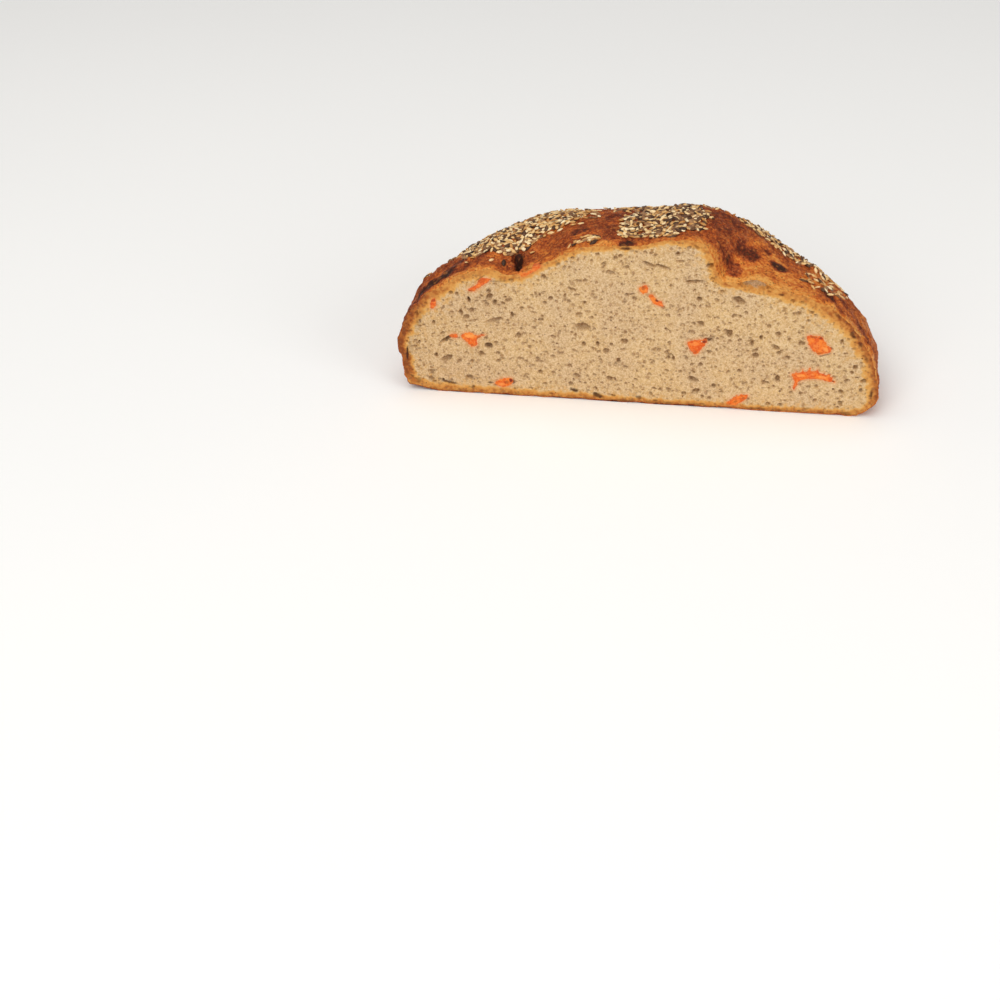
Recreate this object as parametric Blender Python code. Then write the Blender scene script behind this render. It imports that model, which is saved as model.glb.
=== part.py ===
"""Cut half of a round, free-baked carrot bread with sesame and linseed on its crust.

The loaf stands on its flat base. X runs along the cut face, Y from the cut face to the back, Z up.
The origin is on the base, under the middle of the piece. Sizes are in metres, angles in degrees.
"""

import math
import random

import bmesh
import bpy
from mathutils import Matrix, Vector, noise
from mathutils.bvhtree import BVHTree

# Driving dimensions of the loaf
WIDTH = 0.218
DEPTH = 0.104
CROWN = 0.0795
PLAN_POWER = 2.15  # 2 is an ellipse seen from above, more is squarer
WAIST_LEFT = 0.022  # height at which each side is widest
WAIST_RIGHT = 0.012
BASE_INSET_LEFT = 0.008  # how far the base is drawn in under the waist
BASE_INSET_RIGHT = 0.015
HALF_WIDTH = WIDTH / 2
CUT_Y = -DEPTH / 2

# Fineness of the mesh
RINGS = 25
OVER_TOP = 80
UNDERCUT = 4
WELD = 1e-5
ON_PLANE = 1e-6

# A hump beside the burst, and a shoulder behind it
HUMP_X, HUMP_RISE, HUMP_WIDE, HUMP_LONG = 0.023, 0.0066, 0.015, 0.040
SHOULDER_X, SHOULDER_Y, SHOULDER_RISE = 0.032, 0.038, 0.0042
SHOULDER_WIDE, SHOULDER_LONG = 0.024, 0.024

# A full cheek on the left side
CHEEK_X, CHEEK_Y, CHEEK_RISE = -0.098, 0.018, 0.0030
CHEEK_WIDE, CHEEK_LONG = 0.011, 0.016

# A sag over the left half, steeper on its outer side
SAG_X, SAG_DROP, SAG_LONG = -0.053, 0.0080, 0.024
SAG_OUTER, SAG_INNER = 0.010, 0.020

# The burst: a steep wall beside the hump, running out to the right and to the back
BURST_X, BURST_DROP, BURST_WALL, BURST_SLANT = 0.0385, 0.0123, 0.006, 0.40
BURST_END, BURST_EASE, BURST_LONG = 0.090, 1.3, 0.036

# Unevenness all over the crust, fading out towards the base
LUMP_SIZE, LUMP_RISE = 0.030, 0.0014
RIPPLE_SIZE, RIPPLE_RISE = 0.011, 0.0005
LUMP_OFFSET = Vector((3.1, 7.7, 1.9))
UNEVEN_FROM = 0.012
RELIEF_LOW, RELIEF_HIGH = 0.010, 0.045

# Air pockets open on the cut face: x, z, half length, half height, depth, tilt
AIR_POCKETS = (
    (0.0540, 0.0608, 0.0098, 0.0018, 0.0060, -13),
    (-0.0230, 0.0380, 0.0038, 0.0019, 0.0020, 0),
    (-0.0861, 0.0177, 0.0032, 0.0014, 0.0018, 30),
    (-0.0661, 0.0260, 0.0019, 0.0012, 0.0018, 0),
    (-0.0645, 0.0508, 0.0018, 0.0013, 0.0022, 50),
    (-0.0630, 0.0390, 0.0048, 0.0011, 0.0012, 18),
    (-0.0860, 0.0277, 0.0040, 0.0008, 0.0020, 37),
    (0.0455, 0.0554, 0.0029, 0.0017, 0.0022, -28),
    (0.0328, 0.0716, 0.0019, 0.0011, 0.0018, 24),
    (0.0067, 0.0707, 0.0034, 0.0008, 0.0016, -20),
    (0.0127, 0.0698, 0.0036, 0.0008, 0.0016, -16),
    (0.0260, 0.0636, 0.0042, 0.0007, 0.0016, 6),
    (0.0268, 0.0142, 0.0027, 0.0013, 0.0020, -18),
    (0.0640, 0.0171, 0.0011, 0.0019, 0.0022, 0),
    (0.0918, 0.0123, 0.0014, 0.0010, 0.0018, -20),
    (0.0287, 0.0550, 0.0012, 0.0011, 0.0022, 0),
)
POCKET_SIDES, POCKET_ROWS = 8, 6

# Carrot pieces: name, x, z, length, width, tilt, taper towards the right end, rise of the ends, depth
CARROT_PIECES = (
    ("carrot_rim_shred", -0.0905, 0.0458, 0.0052, 0.0027, 60, 0.2, 0.0, 0.0024),
    ("carrot_curl", -0.0686, 0.0567, 0.0112, 0.0034, 32, -0.2, 0.0008, 0.0032),
    ("carrot_crust_shred", -0.0451, 0.0648, 0.0110, 0.0023, 27, 0.1, 0.0, 0.0030),
    ("carrot_crumb_left", -0.0818, 0.0299, 0.0034, 0.0020, 5, 0.0, 0.0, 0.0022),
    ("carrot_wedge_left", -0.0722, 0.0286, 0.0096, 0.0060, -12, -0.5, 0.0020, 0.0040),
    ("carrot_base_left", -0.0594, 0.0066, 0.0080, 0.0042, 10, 0.1, 0.0, 0.0034),
    ("carrot_shred_upper", 0.0047, 0.0587, 0.0044, 0.0028, -50, 0.2, 0.0, 0.0022),
    ("carrot_shred_slant", 0.0102, 0.0531, 0.0078, 0.0027, -38, 0.1, 0.0, 0.0024),
    ("carrot_wedge_middle", 0.0280, 0.0317, 0.0088, 0.0064, 15, -0.3, 0.0016, 0.0040),
    ("carrot_wedge_right", 0.0811, 0.0359, 0.0112, 0.0072, -40, 0.2, 0.0, 0.0042),
    ("carrot_comb", 0.0787, 0.0190, 0.0190, 0.0048, 2, 0.35, -0.0036, 0.0026),
    ("carrot_base_right", 0.0466, 0.0060, 0.0098, 0.0030, 26, 0.1, 0.0, 0.0034),
)
CARROT_GAP = 0.0003  # between a piece and its pocket, and between its face and the cut
CARROT_SIDES = 10
CARROT_JAG = 0.09
CARROT_BEND = 0.7  # share of the depth where a piece starts to round off
CARROT_MIDDLE, CARROT_END = 0.9, 0.6  # size there and at its back, against its face
SHARPEST_MITRE = 0.2
CUTTER_REACH = 0.002

# Seed patches: x, y behind the cut, half length, half width, turn, how many linseed, how many sesame
SEED_PATCHES = (
    (-0.0540, 0.0370, 0.0330, 0.0200, 22, 13, 22),
    (-0.0220, 0.0060, 0.0065, 0.0045, 0, 2, 3),
    (0.0110, 0.0200, 0.0200, 0.0180, 0, 15, 11),
    (0.0080, 0.0550, 0.0220, 0.0150, 0, 9, 8),
    (0.0640, 0.0460, 0.0260, 0.0120, -24, 8, 9),
    (0.0830, 0.0240, 0.0130, 0.0085, 55, 3, 5),
    (-0.0920, 0.0110, 0.0090, 0.0060, 40, 2, 3),
    (-0.0200, 0.0800, 0.0360, 0.0120, 8, 6, 8),
    (0.0420, 0.0760, 0.0240, 0.0110, -16, 4, 6),
)
LINSEED = (0.0050, 0.0027, 0.0014)  # length, width, thickness
SESAME = (0.0035, 0.0022, 0.0012)
SEED_PROUD = 0.22  # share of the thickness by which a seed's middle stands above the crust
SEED_TAPER = 0.22
SEED_SIDES, SEED_ROWS = 6, 3
SEED_ROOM = 0.52  # share of its length that a seed keeps clear round its middle
SEED_JITTER = 0.3
STEEPEST = 0.30  # a seed's crust faces up at least this much
GOLDEN_ANGLE = math.pi * (3 - math.sqrt(5))
RANDOM_SEED = 11

SHARP_ANGLE = 40
BREAD_COLOUR = (0.42, 0.20, 0.08)
CARROT_COLOUR = (0.85, 0.22, 0.03)


def smooth(low, high, value):
    """0 below low, 1 above high, and an even S between them."""
    share = min(1.0, max(0.0, (value - low) / (high - low)))
    return share * share * (3 - 2 * share)


def bell(distance, width):
    return math.exp(-((distance / width) ** 2))


def side_mix(x, left, right):
    """A size that changes evenly from the loaf's left side to its right side."""
    share = min(1.0, max(0.0, 0.5 + x / WIDTH))
    return left + (right - left) * share


def crust_relief(x, y):
    """How far the crust's top stands above the plain dome at a spot behind the cut."""
    hump = HUMP_RISE * bell(x - HUMP_X, HUMP_WIDE) * bell(y, HUMP_LONG)
    shoulder = SHOULDER_RISE * bell(x - SHOULDER_X, SHOULDER_WIDE) * bell(y - SHOULDER_Y, SHOULDER_LONG)
    cheek = CHEEK_RISE * bell(x - CHEEK_X, CHEEK_WIDE) * bell(y - CHEEK_Y, CHEEK_LONG)
    sag_wide = SAG_OUTER if x < SAG_X else SAG_INNER
    sag = SAG_DROP * bell(x - SAG_X, sag_wide) * bell(y, SAG_LONG)
    wall = smooth(BURST_X - BURST_WALL, BURST_X, x - BURST_SLANT * y)
    along = min(1.0, max(0.0, (x - BURST_X) / (BURST_END - BURST_X)))
    burst = BURST_DROP * wall * (1 - along) ** BURST_EASE * (1 - smooth(0.0, BURST_LONG, y))
    return hump + shoulder + cheek - sag - burst


def crust_unevenness(point):
    """Lumps and ripples that stand out along the crust's normal."""
    lumps = noise.noise(point / LUMP_SIZE + LUMP_OFFSET)
    ripples = noise.noise(point / RIPPLE_SIZE)
    return LUMP_RISE * lumps + RIPPLE_RISE * ripples


def dome_point(angle, y):
    """The plain dome above the waist: the angle runs from the right waist (0) over the top to the left (pi)."""
    depth_share = min(1.0, y / DEPTH)
    rise = math.sqrt(max(0.0, 1 - depth_share**2)) * math.sin(angle)
    spread = math.sqrt(max(0.0, 1 - rise**2))
    across = max(0.0, spread**PLAN_POWER - depth_share**PLAN_POWER) ** (1 / PLAN_POWER)
    x = math.copysign(HALF_WIDTH * across, math.cos(angle))
    waist = side_mix(x, WAIST_LEFT, WAIST_RIGHT)
    return Vector((x, y, waist + (CROWN - waist) * rise))


def undercut_point(waist_point, turn):
    """Below the waist the side draws in to the base: the turn runs from 0 at the waist to 1 at the base."""
    angle = turn * math.pi / 2
    inset = side_mix(waist_point.x, BASE_INSET_LEFT, BASE_INSET_RIGHT)
    reach = math.hypot(waist_point.x, waist_point.y)
    keep = 1 - inset * (1 - math.cos(angle)) / reach
    return Vector((waist_point.x * keep, waist_point.y * keep, waist_point.z * (1 - math.sin(angle))))


def ring_points(y):
    """One section parallel to the cut, from the right base over the top to the left base."""
    over = [dome_point(math.pi * i / OVER_TOP, y) for i in range(OVER_TOP + 1)]
    turns = [(i + 1) / UNDERCUT for i in range(UNDERCUT)]
    right = [undercut_point(over[0], turn) for turn in reversed(turns)]
    left = [undercut_point(over[-1], turn) for turn in turns]
    return right + over + left


def shell_shift(vert):
    """What the relief adds to a point of the plain dome. The base stays flat and the cut stays plane."""
    x, y, z = vert.co
    uneven = vert.normal * crust_unevenness(vert.co) * smooth(0.0, UNEVEN_FROM, z)
    relief = Vector((0, 0, crust_relief(x, y) * smooth(RELIEF_LOW, RELIEF_HIGH, z)))
    shift = uneven + relief
    if y < ON_PLANE:
        shift.y = 0
    return shift


def loaf_mesh():
    """The closed loaf without seeds: crust rings, a plane cut face and a flat base."""
    mesh = bmesh.new()
    depths = [DEPTH * math.sin(math.pi / 2 * j / RINGS) for j in range(RINGS + 1)]
    rings = [[mesh.verts.new(p) for p in ring_points(y)] for y in depths]
    for near, far in zip(rings, rings[1:]):
        for i in range(len(near) - 1):
            mesh.faces.new((near[i], near[i + 1], far[i + 1], far[i]))
    bmesh.ops.remove_doubles(mesh, verts=mesh.verts, dist=WELD)
    bmesh.ops.recalc_face_normals(mesh, faces=mesh.faces)
    mesh.normal_update()
    if sum(face.normal.z * face.calc_area() for face in mesh.faces) < 0:
        bmesh.ops.reverse_faces(mesh, faces=mesh.faces)
        mesh.normal_update()
    shifts = [shell_shift(vert) for vert in mesh.verts]
    for vert, shift in zip(mesh.verts, shifts):
        vert.co += shift
    close_cut_and_base(mesh)
    bmesh.ops.recalc_face_normals(mesh, faces=mesh.faces)
    bmesh.ops.triangulate(mesh, faces=mesh.faces)
    bmesh.ops.translate(mesh, verts=mesh.verts, vec=(0, CUT_Y, 0))
    return mesh


def close_cut_and_base(mesh):
    """Fills the cut face and the base, which meet along one straight edge."""
    rim = [edge for edge in mesh.edges if edge.is_boundary]
    at_cut = [edge for edge in rim if all(vert.co.y < ON_PLANE for vert in edge.verts)]
    at_base = [edge for edge in rim if edge not in at_cut]
    corners = [vert for vert in mesh.verts if vert.co.y < ON_PLANE and vert.co.z < ON_PLANE]
    across = mesh.edges.new(corners)
    for edges in (at_cut, at_base):
        bmesh.ops.triangle_fill(mesh, use_beauty=True, edges=edges + [across])


def new_object(name, mesh, material, collection):
    data = bpy.data.meshes.new(name)
    mesh.to_mesh(data)
    mesh.free()
    data.materials.append(material)
    piece = bpy.data.objects.new(name, data)
    collection.objects.link(piece)
    return piece


def new_collection(name):
    collection = bpy.data.collections.new(name)
    bpy.context.scene.collection.children.link(collection)
    return collection


def new_material(name, colour, roughness):
    material = bpy.data.materials.new(name)
    material.use_nodes = True
    shader = material.node_tree.nodes["Principled BSDF"]
    shader.inputs["Base Color"].default_value = (*colour, 1)
    shader.inputs["Roughness"].default_value = roughness
    shader.inputs["Metallic"].default_value = 0.0
    return material


def apply_boolean(loaf, operation, collection):
    """Joins or cuts with every object of the collection, and then removes them."""
    modifier = loaf.modifiers.new(operation.lower(), "BOOLEAN")
    modifier.operation = operation
    modifier.operand_type = "COLLECTION"
    modifier.collection = collection
    modifier.solver = "EXACT"
    bpy.context.view_layer.objects.active = loaf
    bpy.ops.object.modifier_apply(modifier=modifier.name)
    for piece in list(collection.objects):
        bpy.data.objects.remove(piece)
    bpy.data.collections.remove(collection)


def seed_mesh(size):
    """A seed: a flat drop, more pointed at its right end, with few sides."""
    length, width, thickness = size
    mesh = bmesh.new()
    tip = mesh.verts.new((length / 2, 0, 0))
    tail = mesh.verts.new((-length / 2, 0, 0))
    rows = []
    for i in range(1, SEED_ROWS):
        along = math.cos(math.pi * i / SEED_ROWS)
        plump = math.sin(math.pi * i / SEED_ROWS) * (1 - SEED_TAPER * along)
        turns = [2 * math.pi * k / SEED_SIDES for k in range(SEED_SIDES)]
        rows.append([mesh.verts.new((length / 2 * along,
                                     width / 2 * plump * math.cos(turn),
                                     thickness / 2 * plump * math.sin(turn))) for turn in turns])
    for k in range(SEED_SIDES):
        after = (k + 1) % SEED_SIDES
        mesh.faces.new((tip, rows[0][k], rows[0][after]))
        mesh.faces.new((tail, rows[-1][after], rows[-1][k]))
        for near, far in zip(rows, rows[1:]):
            mesh.faces.new((near[k], far[k], far[after], near[after]))
    bmesh.ops.recalc_face_normals(mesh, faces=mesh.faces)
    return mesh


def patch_spots(patch, count, draw):
    """Spots spread evenly over an oval patch by the golden angle, with a little jitter."""
    x, y, half_long, half_wide, turn = patch[:5]
    cosine, sine = math.cos(math.radians(turn)), math.sin(math.radians(turn))
    for i in range(count):
        reach = math.sqrt((i + 0.5) / count)
        angle = i * GOLDEN_ANGLE + draw.uniform(-SEED_JITTER, SEED_JITTER)
        along = half_long * reach * math.cos(angle)
        aside = half_wide * reach * math.sin(angle)
        yield x + cosine * along - sine * aside, y + sine * along + cosine * aside


def seed_places(tree):
    """Every seed's size and place on the crust. A seed that would lie in another is skipped."""
    draw = random.Random(RANDOM_SEED)
    taken = []
    for kind, size in ((5, LINSEED), (6, SESAME)):
        room = SEED_ROOM * size[0]
        for patch in SEED_PATCHES:
            for x, y in patch_spots(patch, patch[kind], draw):
                turn = Matrix.Rotation(draw.uniform(0, 2 * math.pi), 4, "Z")
                spot, normal, _, _ = tree.ray_cast(Vector((x, y + CUT_Y, 2 * CROWN)), Vector((0, 0, -1)))
                if spot is None or normal.z < STEEPEST or y < room:
                    continue
                if any((spot - other).length < room + reach for other, reach in taken):
                    continue
                taken.append((spot, room))
                lie = normal.to_track_quat("Z", "Y").to_matrix().to_4x4()
                middle = Matrix.Translation(spot + normal * SEED_PROUD * size[2])
                yield size, middle @ lie @ turn


def add_seeds(loaf, material):
    """Fuses the seeds to the crust."""
    tree = BVHTree.FromObject(loaf, bpy.context.evaluated_depsgraph_get())
    seeds = new_collection("seeds")
    for size, place in seed_places(tree):
        seed = new_object("seed", seed_mesh(size), material, seeds)
        seed.matrix_world = place
    apply_boolean(loaf, "UNION", seeds)


def cut_air_pockets(loaf, material):
    """Cuts the rounded hollows that open on the cut face."""
    cutters = new_collection("air_pockets")
    for x, z, half_long, half_high, depth, tilt in AIR_POCKETS:
        mesh = bmesh.new()
        bmesh.ops.create_uvsphere(mesh, u_segments=POCKET_SIDES, v_segments=POCKET_ROWS, radius=1)
        cutter = new_object("air_pocket", mesh, material, cutters)
        grow = Matrix.Diagonal((half_long, depth, half_high, 1))
        turn = Matrix.Rotation(math.radians(-tilt), 4, "Y")
        cutter.matrix_world = Matrix.Translation((x, CUT_Y, z)) @ turn @ grow
    apply_boolean(loaf, "DIFFERENCE", cutters)


def carrot_outline(length, width, taper, lift):
    """A shred's jagged oval outline round the origin, before it is tilted, as x and z."""
    outline = []
    for i in range(CARROT_SIDES):
        angle = 2 * math.pi * i / CARROT_SIDES
        jag = 1 + CARROT_JAG * (-1) ** i
        along = math.cos(angle) * jag
        rise = lift * (along**2 - 0.5)
        outline.append((length / 2 * along, width / 2 * math.sin(angle) * jag * (1 - taper * along) + rise))
    return outline


def grown(outline, gap):
    """The outline moved outwards by the gap, with its corners mitred."""
    bigger = []
    for k, (x, z) in enumerate(outline):
        corner = Vector((x, z))
        to_corner = (corner - Vector(outline[k - 1])).normalized()
        from_corner = (Vector(outline[(k + 1) % len(outline)]) - corner).normalized()
        out_before = Vector((to_corner.y, -to_corner.x))
        out_after = Vector((from_corner.y, -from_corner.x))
        mitre = (out_before + out_after) / max(SHARPEST_MITRE, 1 + out_before.dot(out_after))
        bigger.append(corner + mitre * gap)
    return bigger


def carrot_mesh(outline, tilt, layers):
    """The outline drawn back into the crumb through layers of a depth and a size."""
    mesh = bmesh.new()
    turn = Matrix.Rotation(math.radians(-tilt), 3, "Y")
    rings = []
    for depth, size in layers:
        back = Vector((0, depth, 0))
        rings.append([mesh.verts.new(turn @ Vector((x * size, 0, z * size)) + back) for x, z in outline])
    for near, far in zip(rings, rings[1:]):
        for k in range(len(outline)):
            after = (k + 1) % len(outline)
            mesh.faces.new((near[k], near[after], far[after]))
            mesh.faces.new((near[k], far[after], far[k]))
    mesh.faces.new(rings[0])
    mesh.faces.new(rings[-1])
    bmesh.ops.triangulate(mesh, faces=mesh.faces)
    bmesh.ops.recalc_face_normals(mesh, faces=mesh.faces)
    return mesh


def add_carrots(loaf, bread, carrot):
    """Each carrot piece as its own solid in its own pocket, a hair below the cut face."""
    cutters = new_collection("carrot_pockets")
    pieces = []
    for name, x, z, length, width, tilt, taper, lift, depth in CARROT_PIECES:
        outline = carrot_outline(length, width, taper, lift)
        inside = [(CARROT_GAP, 1.0), (CARROT_BEND * depth, CARROT_MIDDLE), (depth, CARROT_END)]
        pocket = [(-CUTTER_REACH, 1.0)] + inside[:2] + [(depth + CARROT_GAP, CARROT_END)]
        piece = new_object(name, carrot_mesh(outline, tilt, inside), carrot, bpy.context.scene.collection)
        wider = grown(outline, CARROT_GAP)
        cutter = new_object("carrot_pocket", carrot_mesh(wider, tilt, pocket), bread, cutters)
        piece.location = cutter.location = (x, CUT_Y, z)
        pieces.append(piece)
    apply_boolean(loaf, "DIFFERENCE", cutters)
    return pieces


def centre_on_origin(loaf, pieces):
    """Moves everything so that the origin is under the middle of the loaf."""
    corners = [Vector(corner) for corner in loaf.bound_box]
    shift = Vector()
    for axis in (0, 1):
        values = [corner[axis] for corner in corners]
        shift[axis] = -(min(values) + max(values)) / 2
    loaf.data.transform(Matrix.Translation(shift))
    for piece in pieces:
        piece.location += shift


def main():
    for piece in list(bpy.data.objects):
        bpy.data.objects.remove(piece)
    bread = new_material("bread", BREAD_COLOUR, 0.7)
    carrot = new_material("carrot", CARROT_COLOUR, 0.45)
    loaf = new_object("loaf", loaf_mesh(), bread, bpy.context.scene.collection)
    add_seeds(loaf, bread)
    cut_air_pockets(loaf, bread)
    pieces = add_carrots(loaf, bread, carrot)
    centre_on_origin(loaf, pieces)
    loaf.data.shade_smooth()
    loaf.data.set_sharp_from_angle(angle=math.radians(SHARP_ANGLE))


main()
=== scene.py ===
"""Looks of the cut carrot bread: crust, crumb, sesame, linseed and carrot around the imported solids.

X runs along the cut face, Y from the cut face to the back, Z up. Sizes are in metres, angles in degrees.
"""

import math
import random

import bpy
import numpy as np
from mathutils import Matrix, Vector, kdtree, noise
from mathutils.bvhtree import BVHTree


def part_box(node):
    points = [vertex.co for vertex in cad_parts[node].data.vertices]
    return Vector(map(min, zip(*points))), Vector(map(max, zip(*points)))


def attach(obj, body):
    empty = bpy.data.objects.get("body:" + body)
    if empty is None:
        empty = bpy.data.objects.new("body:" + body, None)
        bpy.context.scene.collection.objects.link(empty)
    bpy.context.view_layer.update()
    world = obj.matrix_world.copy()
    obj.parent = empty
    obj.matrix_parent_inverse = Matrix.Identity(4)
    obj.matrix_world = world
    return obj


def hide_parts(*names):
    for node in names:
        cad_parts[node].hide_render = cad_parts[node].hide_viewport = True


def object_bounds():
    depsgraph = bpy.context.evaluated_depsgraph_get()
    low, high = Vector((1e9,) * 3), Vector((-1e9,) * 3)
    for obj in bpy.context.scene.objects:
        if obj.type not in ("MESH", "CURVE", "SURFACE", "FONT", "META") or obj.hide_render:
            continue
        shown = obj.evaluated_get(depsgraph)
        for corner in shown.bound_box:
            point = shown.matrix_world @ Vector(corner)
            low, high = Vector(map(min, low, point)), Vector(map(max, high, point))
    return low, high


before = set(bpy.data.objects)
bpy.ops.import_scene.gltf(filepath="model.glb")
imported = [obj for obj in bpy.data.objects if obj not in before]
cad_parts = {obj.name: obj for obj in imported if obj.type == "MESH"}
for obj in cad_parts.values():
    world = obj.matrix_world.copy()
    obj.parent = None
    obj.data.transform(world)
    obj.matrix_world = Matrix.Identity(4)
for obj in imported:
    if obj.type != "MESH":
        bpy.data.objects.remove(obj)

cad_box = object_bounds()
cut_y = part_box("loaf")[0][1]

# The loaf's form, as its solid has it
MM = 0.001
WIDTH, DEPTH, CROWN = 0.218, 0.104, 0.0795
HALF_WIDTH = WIDTH / 2
PLAN_POWER = 2.15
WAIST_LEFT, WAIST_RIGHT = 0.022, 0.012
BASE_INSET_LEFT, BASE_INSET_RIGHT = 0.008, 0.015
SAG_X, SAG_DROP, SAG_LONG = -0.053, 0.0080, 0.024
SAG_OUTER, SAG_INNER = 0.010, 0.020
BURST_X, BURST_DROP, BURST_WALL, BURST_SLANT = 0.0385, 0.0123, 0.006, 0.40
BURST_END, BURST_EASE, BURST_LONG = 0.090, 1.3, 0.036
HUMP_RISE = 0.0066
# Bumps and dips of the crust: x, y behind the cut, rise, half width, half length
BUMPS = (
    (0.023, 0, HUMP_RISE, 0.015, 0.040), (0.032, 0.038, 0.0054, 0.022, 0.024),
    (-0.098, 0.018, 0.0030, 0.011, 0.016), (0.0535, 0, 0.0038, 0.0072, 0.014),
    (-0.050, 0.050, 0.0016, 0.020, 0.020), (0.066, 0.048, -0.0034, 0.014, 0.030),
    (0.0185, 0.013, -0.0015, 0.016, 0.011),
)
LUMP_SIZE, LUMP_RISE = 0.030, 0.0014
RIPPLE_SIZE, RIPPLE_RISE = 0.011, 0.0005
LUMP_OFFSET = Vector((3.1, 7.7, 1.9))
UNEVEN_FROM = 0.012
RELIEF_LOW, RELIEF_HIGH = 0.010, 0.045

# The crust is drawn from half a ball
BALL_FINENESS = 8
BASE_CUT = -0.375  # height on the unit ball where the base's middle begins
UNDERCUT_DIP = math.radians(14)
ON_PLANE = 1e-6

# Crack in the crust over the sag
CRACK_X, CRACK_LEAN, CRACK_DEEP, CRACK_WIDE, CRACK_LONG = -0.0508, -0.20, 0.0042, 0.0013, 0.0185
CRACK_SWAY, CRACK_SWAYS = 0.0007, 900

# Wrinkles of the crust: name, texture, size, strength
WRINKLES = (
    ("crust folds", "CLOUDS", 0.0065, 0.0024),
    ("crust blisters", "STUCCI", 0.0030, 0.0008),
    ("crust grain", "CLOUDS", 0.0014, 0.0008),
)
WRINKLE_MIDDLE = 0.62  # the texture's level that leaves the crust where it is
WRINKLE_LEVELS = 20
WRINKLE_GROUP = "wrinkled"
BURST_CALM = 0.65  # how much fainter the wrinkles are in the burst

# Edge of the crust at the cut
RIM_WIDE = 0.0008
RIM_SINK = 0.0003
RECESS = 0.0075
POCKET_SINK = 0.0016
RIM_SMOOTHING = 6
BASE_EDGE_CUTS = 240

# The base's front edge is ragged: how far it lifts, over what size, and two notches (x, half long, rise)
RAGGED_RISE, RAGGED_SIZE, RAGGED_BELOW = 0.0011, 0.0042, 0.0010
CORNER_FROM, CORNER_TO, CORNER_RISE, CORNER_LONG = 0.0905, 0.1040, 0.0026, 0.020
NOTCHES = ((0.0262, 0.0024, 0.0011), (0.0408, 0.0012, 0.0016))

# Behind the cut the crumb and its recess draw in, clear of the crust's outside
DRAWN_IN = (0.955, 1.0, 0.90)
DRAWN_TO_HEIGHT = 0.055
CRACK_ROOM, CRACK_ROOM_WIDE = 0.0060, 0.0060

# How far the oven's gold reaches into the cut crumb, by place along x: at the top, and at the bottom
TOAST_X = (
    -0.109, -0.098, -0.08, -0.06, -0.045, -0.025, 0.015, 0.028, 0.038, 0.05, 0.065, 0.085, 0.1, 0.109,
)
TOAST_TOP = (
    0.0056, 0.0082, 0.0058, 0.0052, 0.0048, 0.0034, 0.003, 0.0048, 0.0044, 0.0036, 0.0072, 0.0082, 0.0072,
    0.0062,
)
BOTTOM_X = (-0.1, -0.07, -0.04, -0.015, 0.01, 0.05, 0.1)
TOAST_BOTTOM = (0.0056, 0.0048, 0.0038, 0.0034, 0.003, 0.0028, 0.0038)

# Darker spots of the crust: x, y behind the cut, half length, half width, turn, amount
SCORCHES_AND_SHADE = (
    (-0.095, 0.005, 0.012, 0.0045, 20, 0.14), (-0.08, 0.007, 0.009, 0.004, 10, 0.12),
    (-0.085, 0.0092, 0.005, 0.0046, 30, 0.42), (-0.0935, 0.005, 0.0058, 0.0044, 40, 0.44),
    (-0.0798, 0.015, 0.0042, 0.0032, 10, 0.34), (-0.069, 0.012, 0.003, 0.0022, 0, 0.16),
    (-0.06, 0.0055, 0.006, 0.0024, 0, 0.1), (-0.0527, 0.0105, 0.0024, 0.0078, 11, 0.55),
    (-0.0262, 0.0173, 0.0046, 0.0026, 10, 0.38), (-0.0034, 0.0014, 0.0036, 0.003, 0, 0.55),
    (-0.012, 0.026, 0.012, 0.016, 0, 0.1), (-0.03, 0.009, 0.007, 0.0016, 5, 0.12),
    # the first spot below is painted shade in the corner at the foot of the burst's steep left side
    (0.0426, 0.008, 0.0046, 0.0046, 20, 0.44), (0.0482, 0.019, 0.0058, 0.006, 0, 0.46),
    (0.038, 0.033, 0.009, 0.016, -15, 0.14), (0.0615, 0.0174, 0.0046, 0.0034, -20, 0.74),
    (0.0563, 0.0253, 0.0022, 0.0018, 0, 0.4), (0.065, 0.026, 0.009, 0.004, -20, 0.14),
    (0.0714, 0.0071, 0.0016, 0.0012, 0, 0.3), (0.0755, 0.015, 0.003, 0.0018, -20, 0.24),
    (0.0834, 0.0111, 0.005, 0.0026, -35, 0.34), (0.0891, 0.003, 0.003, 0.0022, -40, 0.3),
    (0.0905, 0.013, 0.006, 0.0018, -45, 0.26), (0.0985, 0.008, 0.006, 0.002, -50, 0.3),
)
# How brown the crust is at first and inside, and how golden the crumb is behind and in the large hollow
BARE_BROWN, INNER_BROWN, INNER_TOAST, HOLLOW_TOAST = 0.53, 0.06, 0.40, 0.52
# Colours from the palest to the darkest: place from 0 to 1, and the colour in 0 to 255
CRUST_COLOURS = (
    (0, (234, 168, 84)), (0.18, (218, 136, 54)), (0.36, (194, 98, 32)), (0.52, (156, 70, 22)),
    (0.68, (124, 48, 14)), (0.84, (92, 35, 11)), (1, (56, 25, 11)),
)
TOAST_COLOURS = (
    (0, (212, 168, 106)), (0.3, (224, 170, 92)), (0.58, (210, 144, 70)), (0.82, (174, 100, 42)),
    (1, (136, 70, 30)),
)
SESAME_COLOURS = (
    (0, (184, 122, 58)), (0.35, (222, 176, 110)), (0.7, (240, 206, 150)), (1, (248, 226, 182)),
)
LINSEED_COLOURS = ((0, (60, 38, 25)), (0.4, (98, 65, 42)), (0.75, (134, 94, 62)), (1, (172, 128, 86)))
# Studio lights: name, place, width, power in watts, colour
LIGHTS = (
    ("overhead_light", (-0.2, -0.2, 1.5), 1.6, 14.4, (1.0, 0.98, 0.95)),
    ("front_light", (-0.45, -1.5, 1.1), 1.0, 10.6, (1.0, 0.98, 0.95)),
    ("right_light", (1.3, -0.9, 0.7), 1.0, 7.6, (1.0, 0.99, 0.97)),
)
LIGHT_AIM = Vector((0, 0, 0.04))
LIGHT_AIR = 0.28

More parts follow.
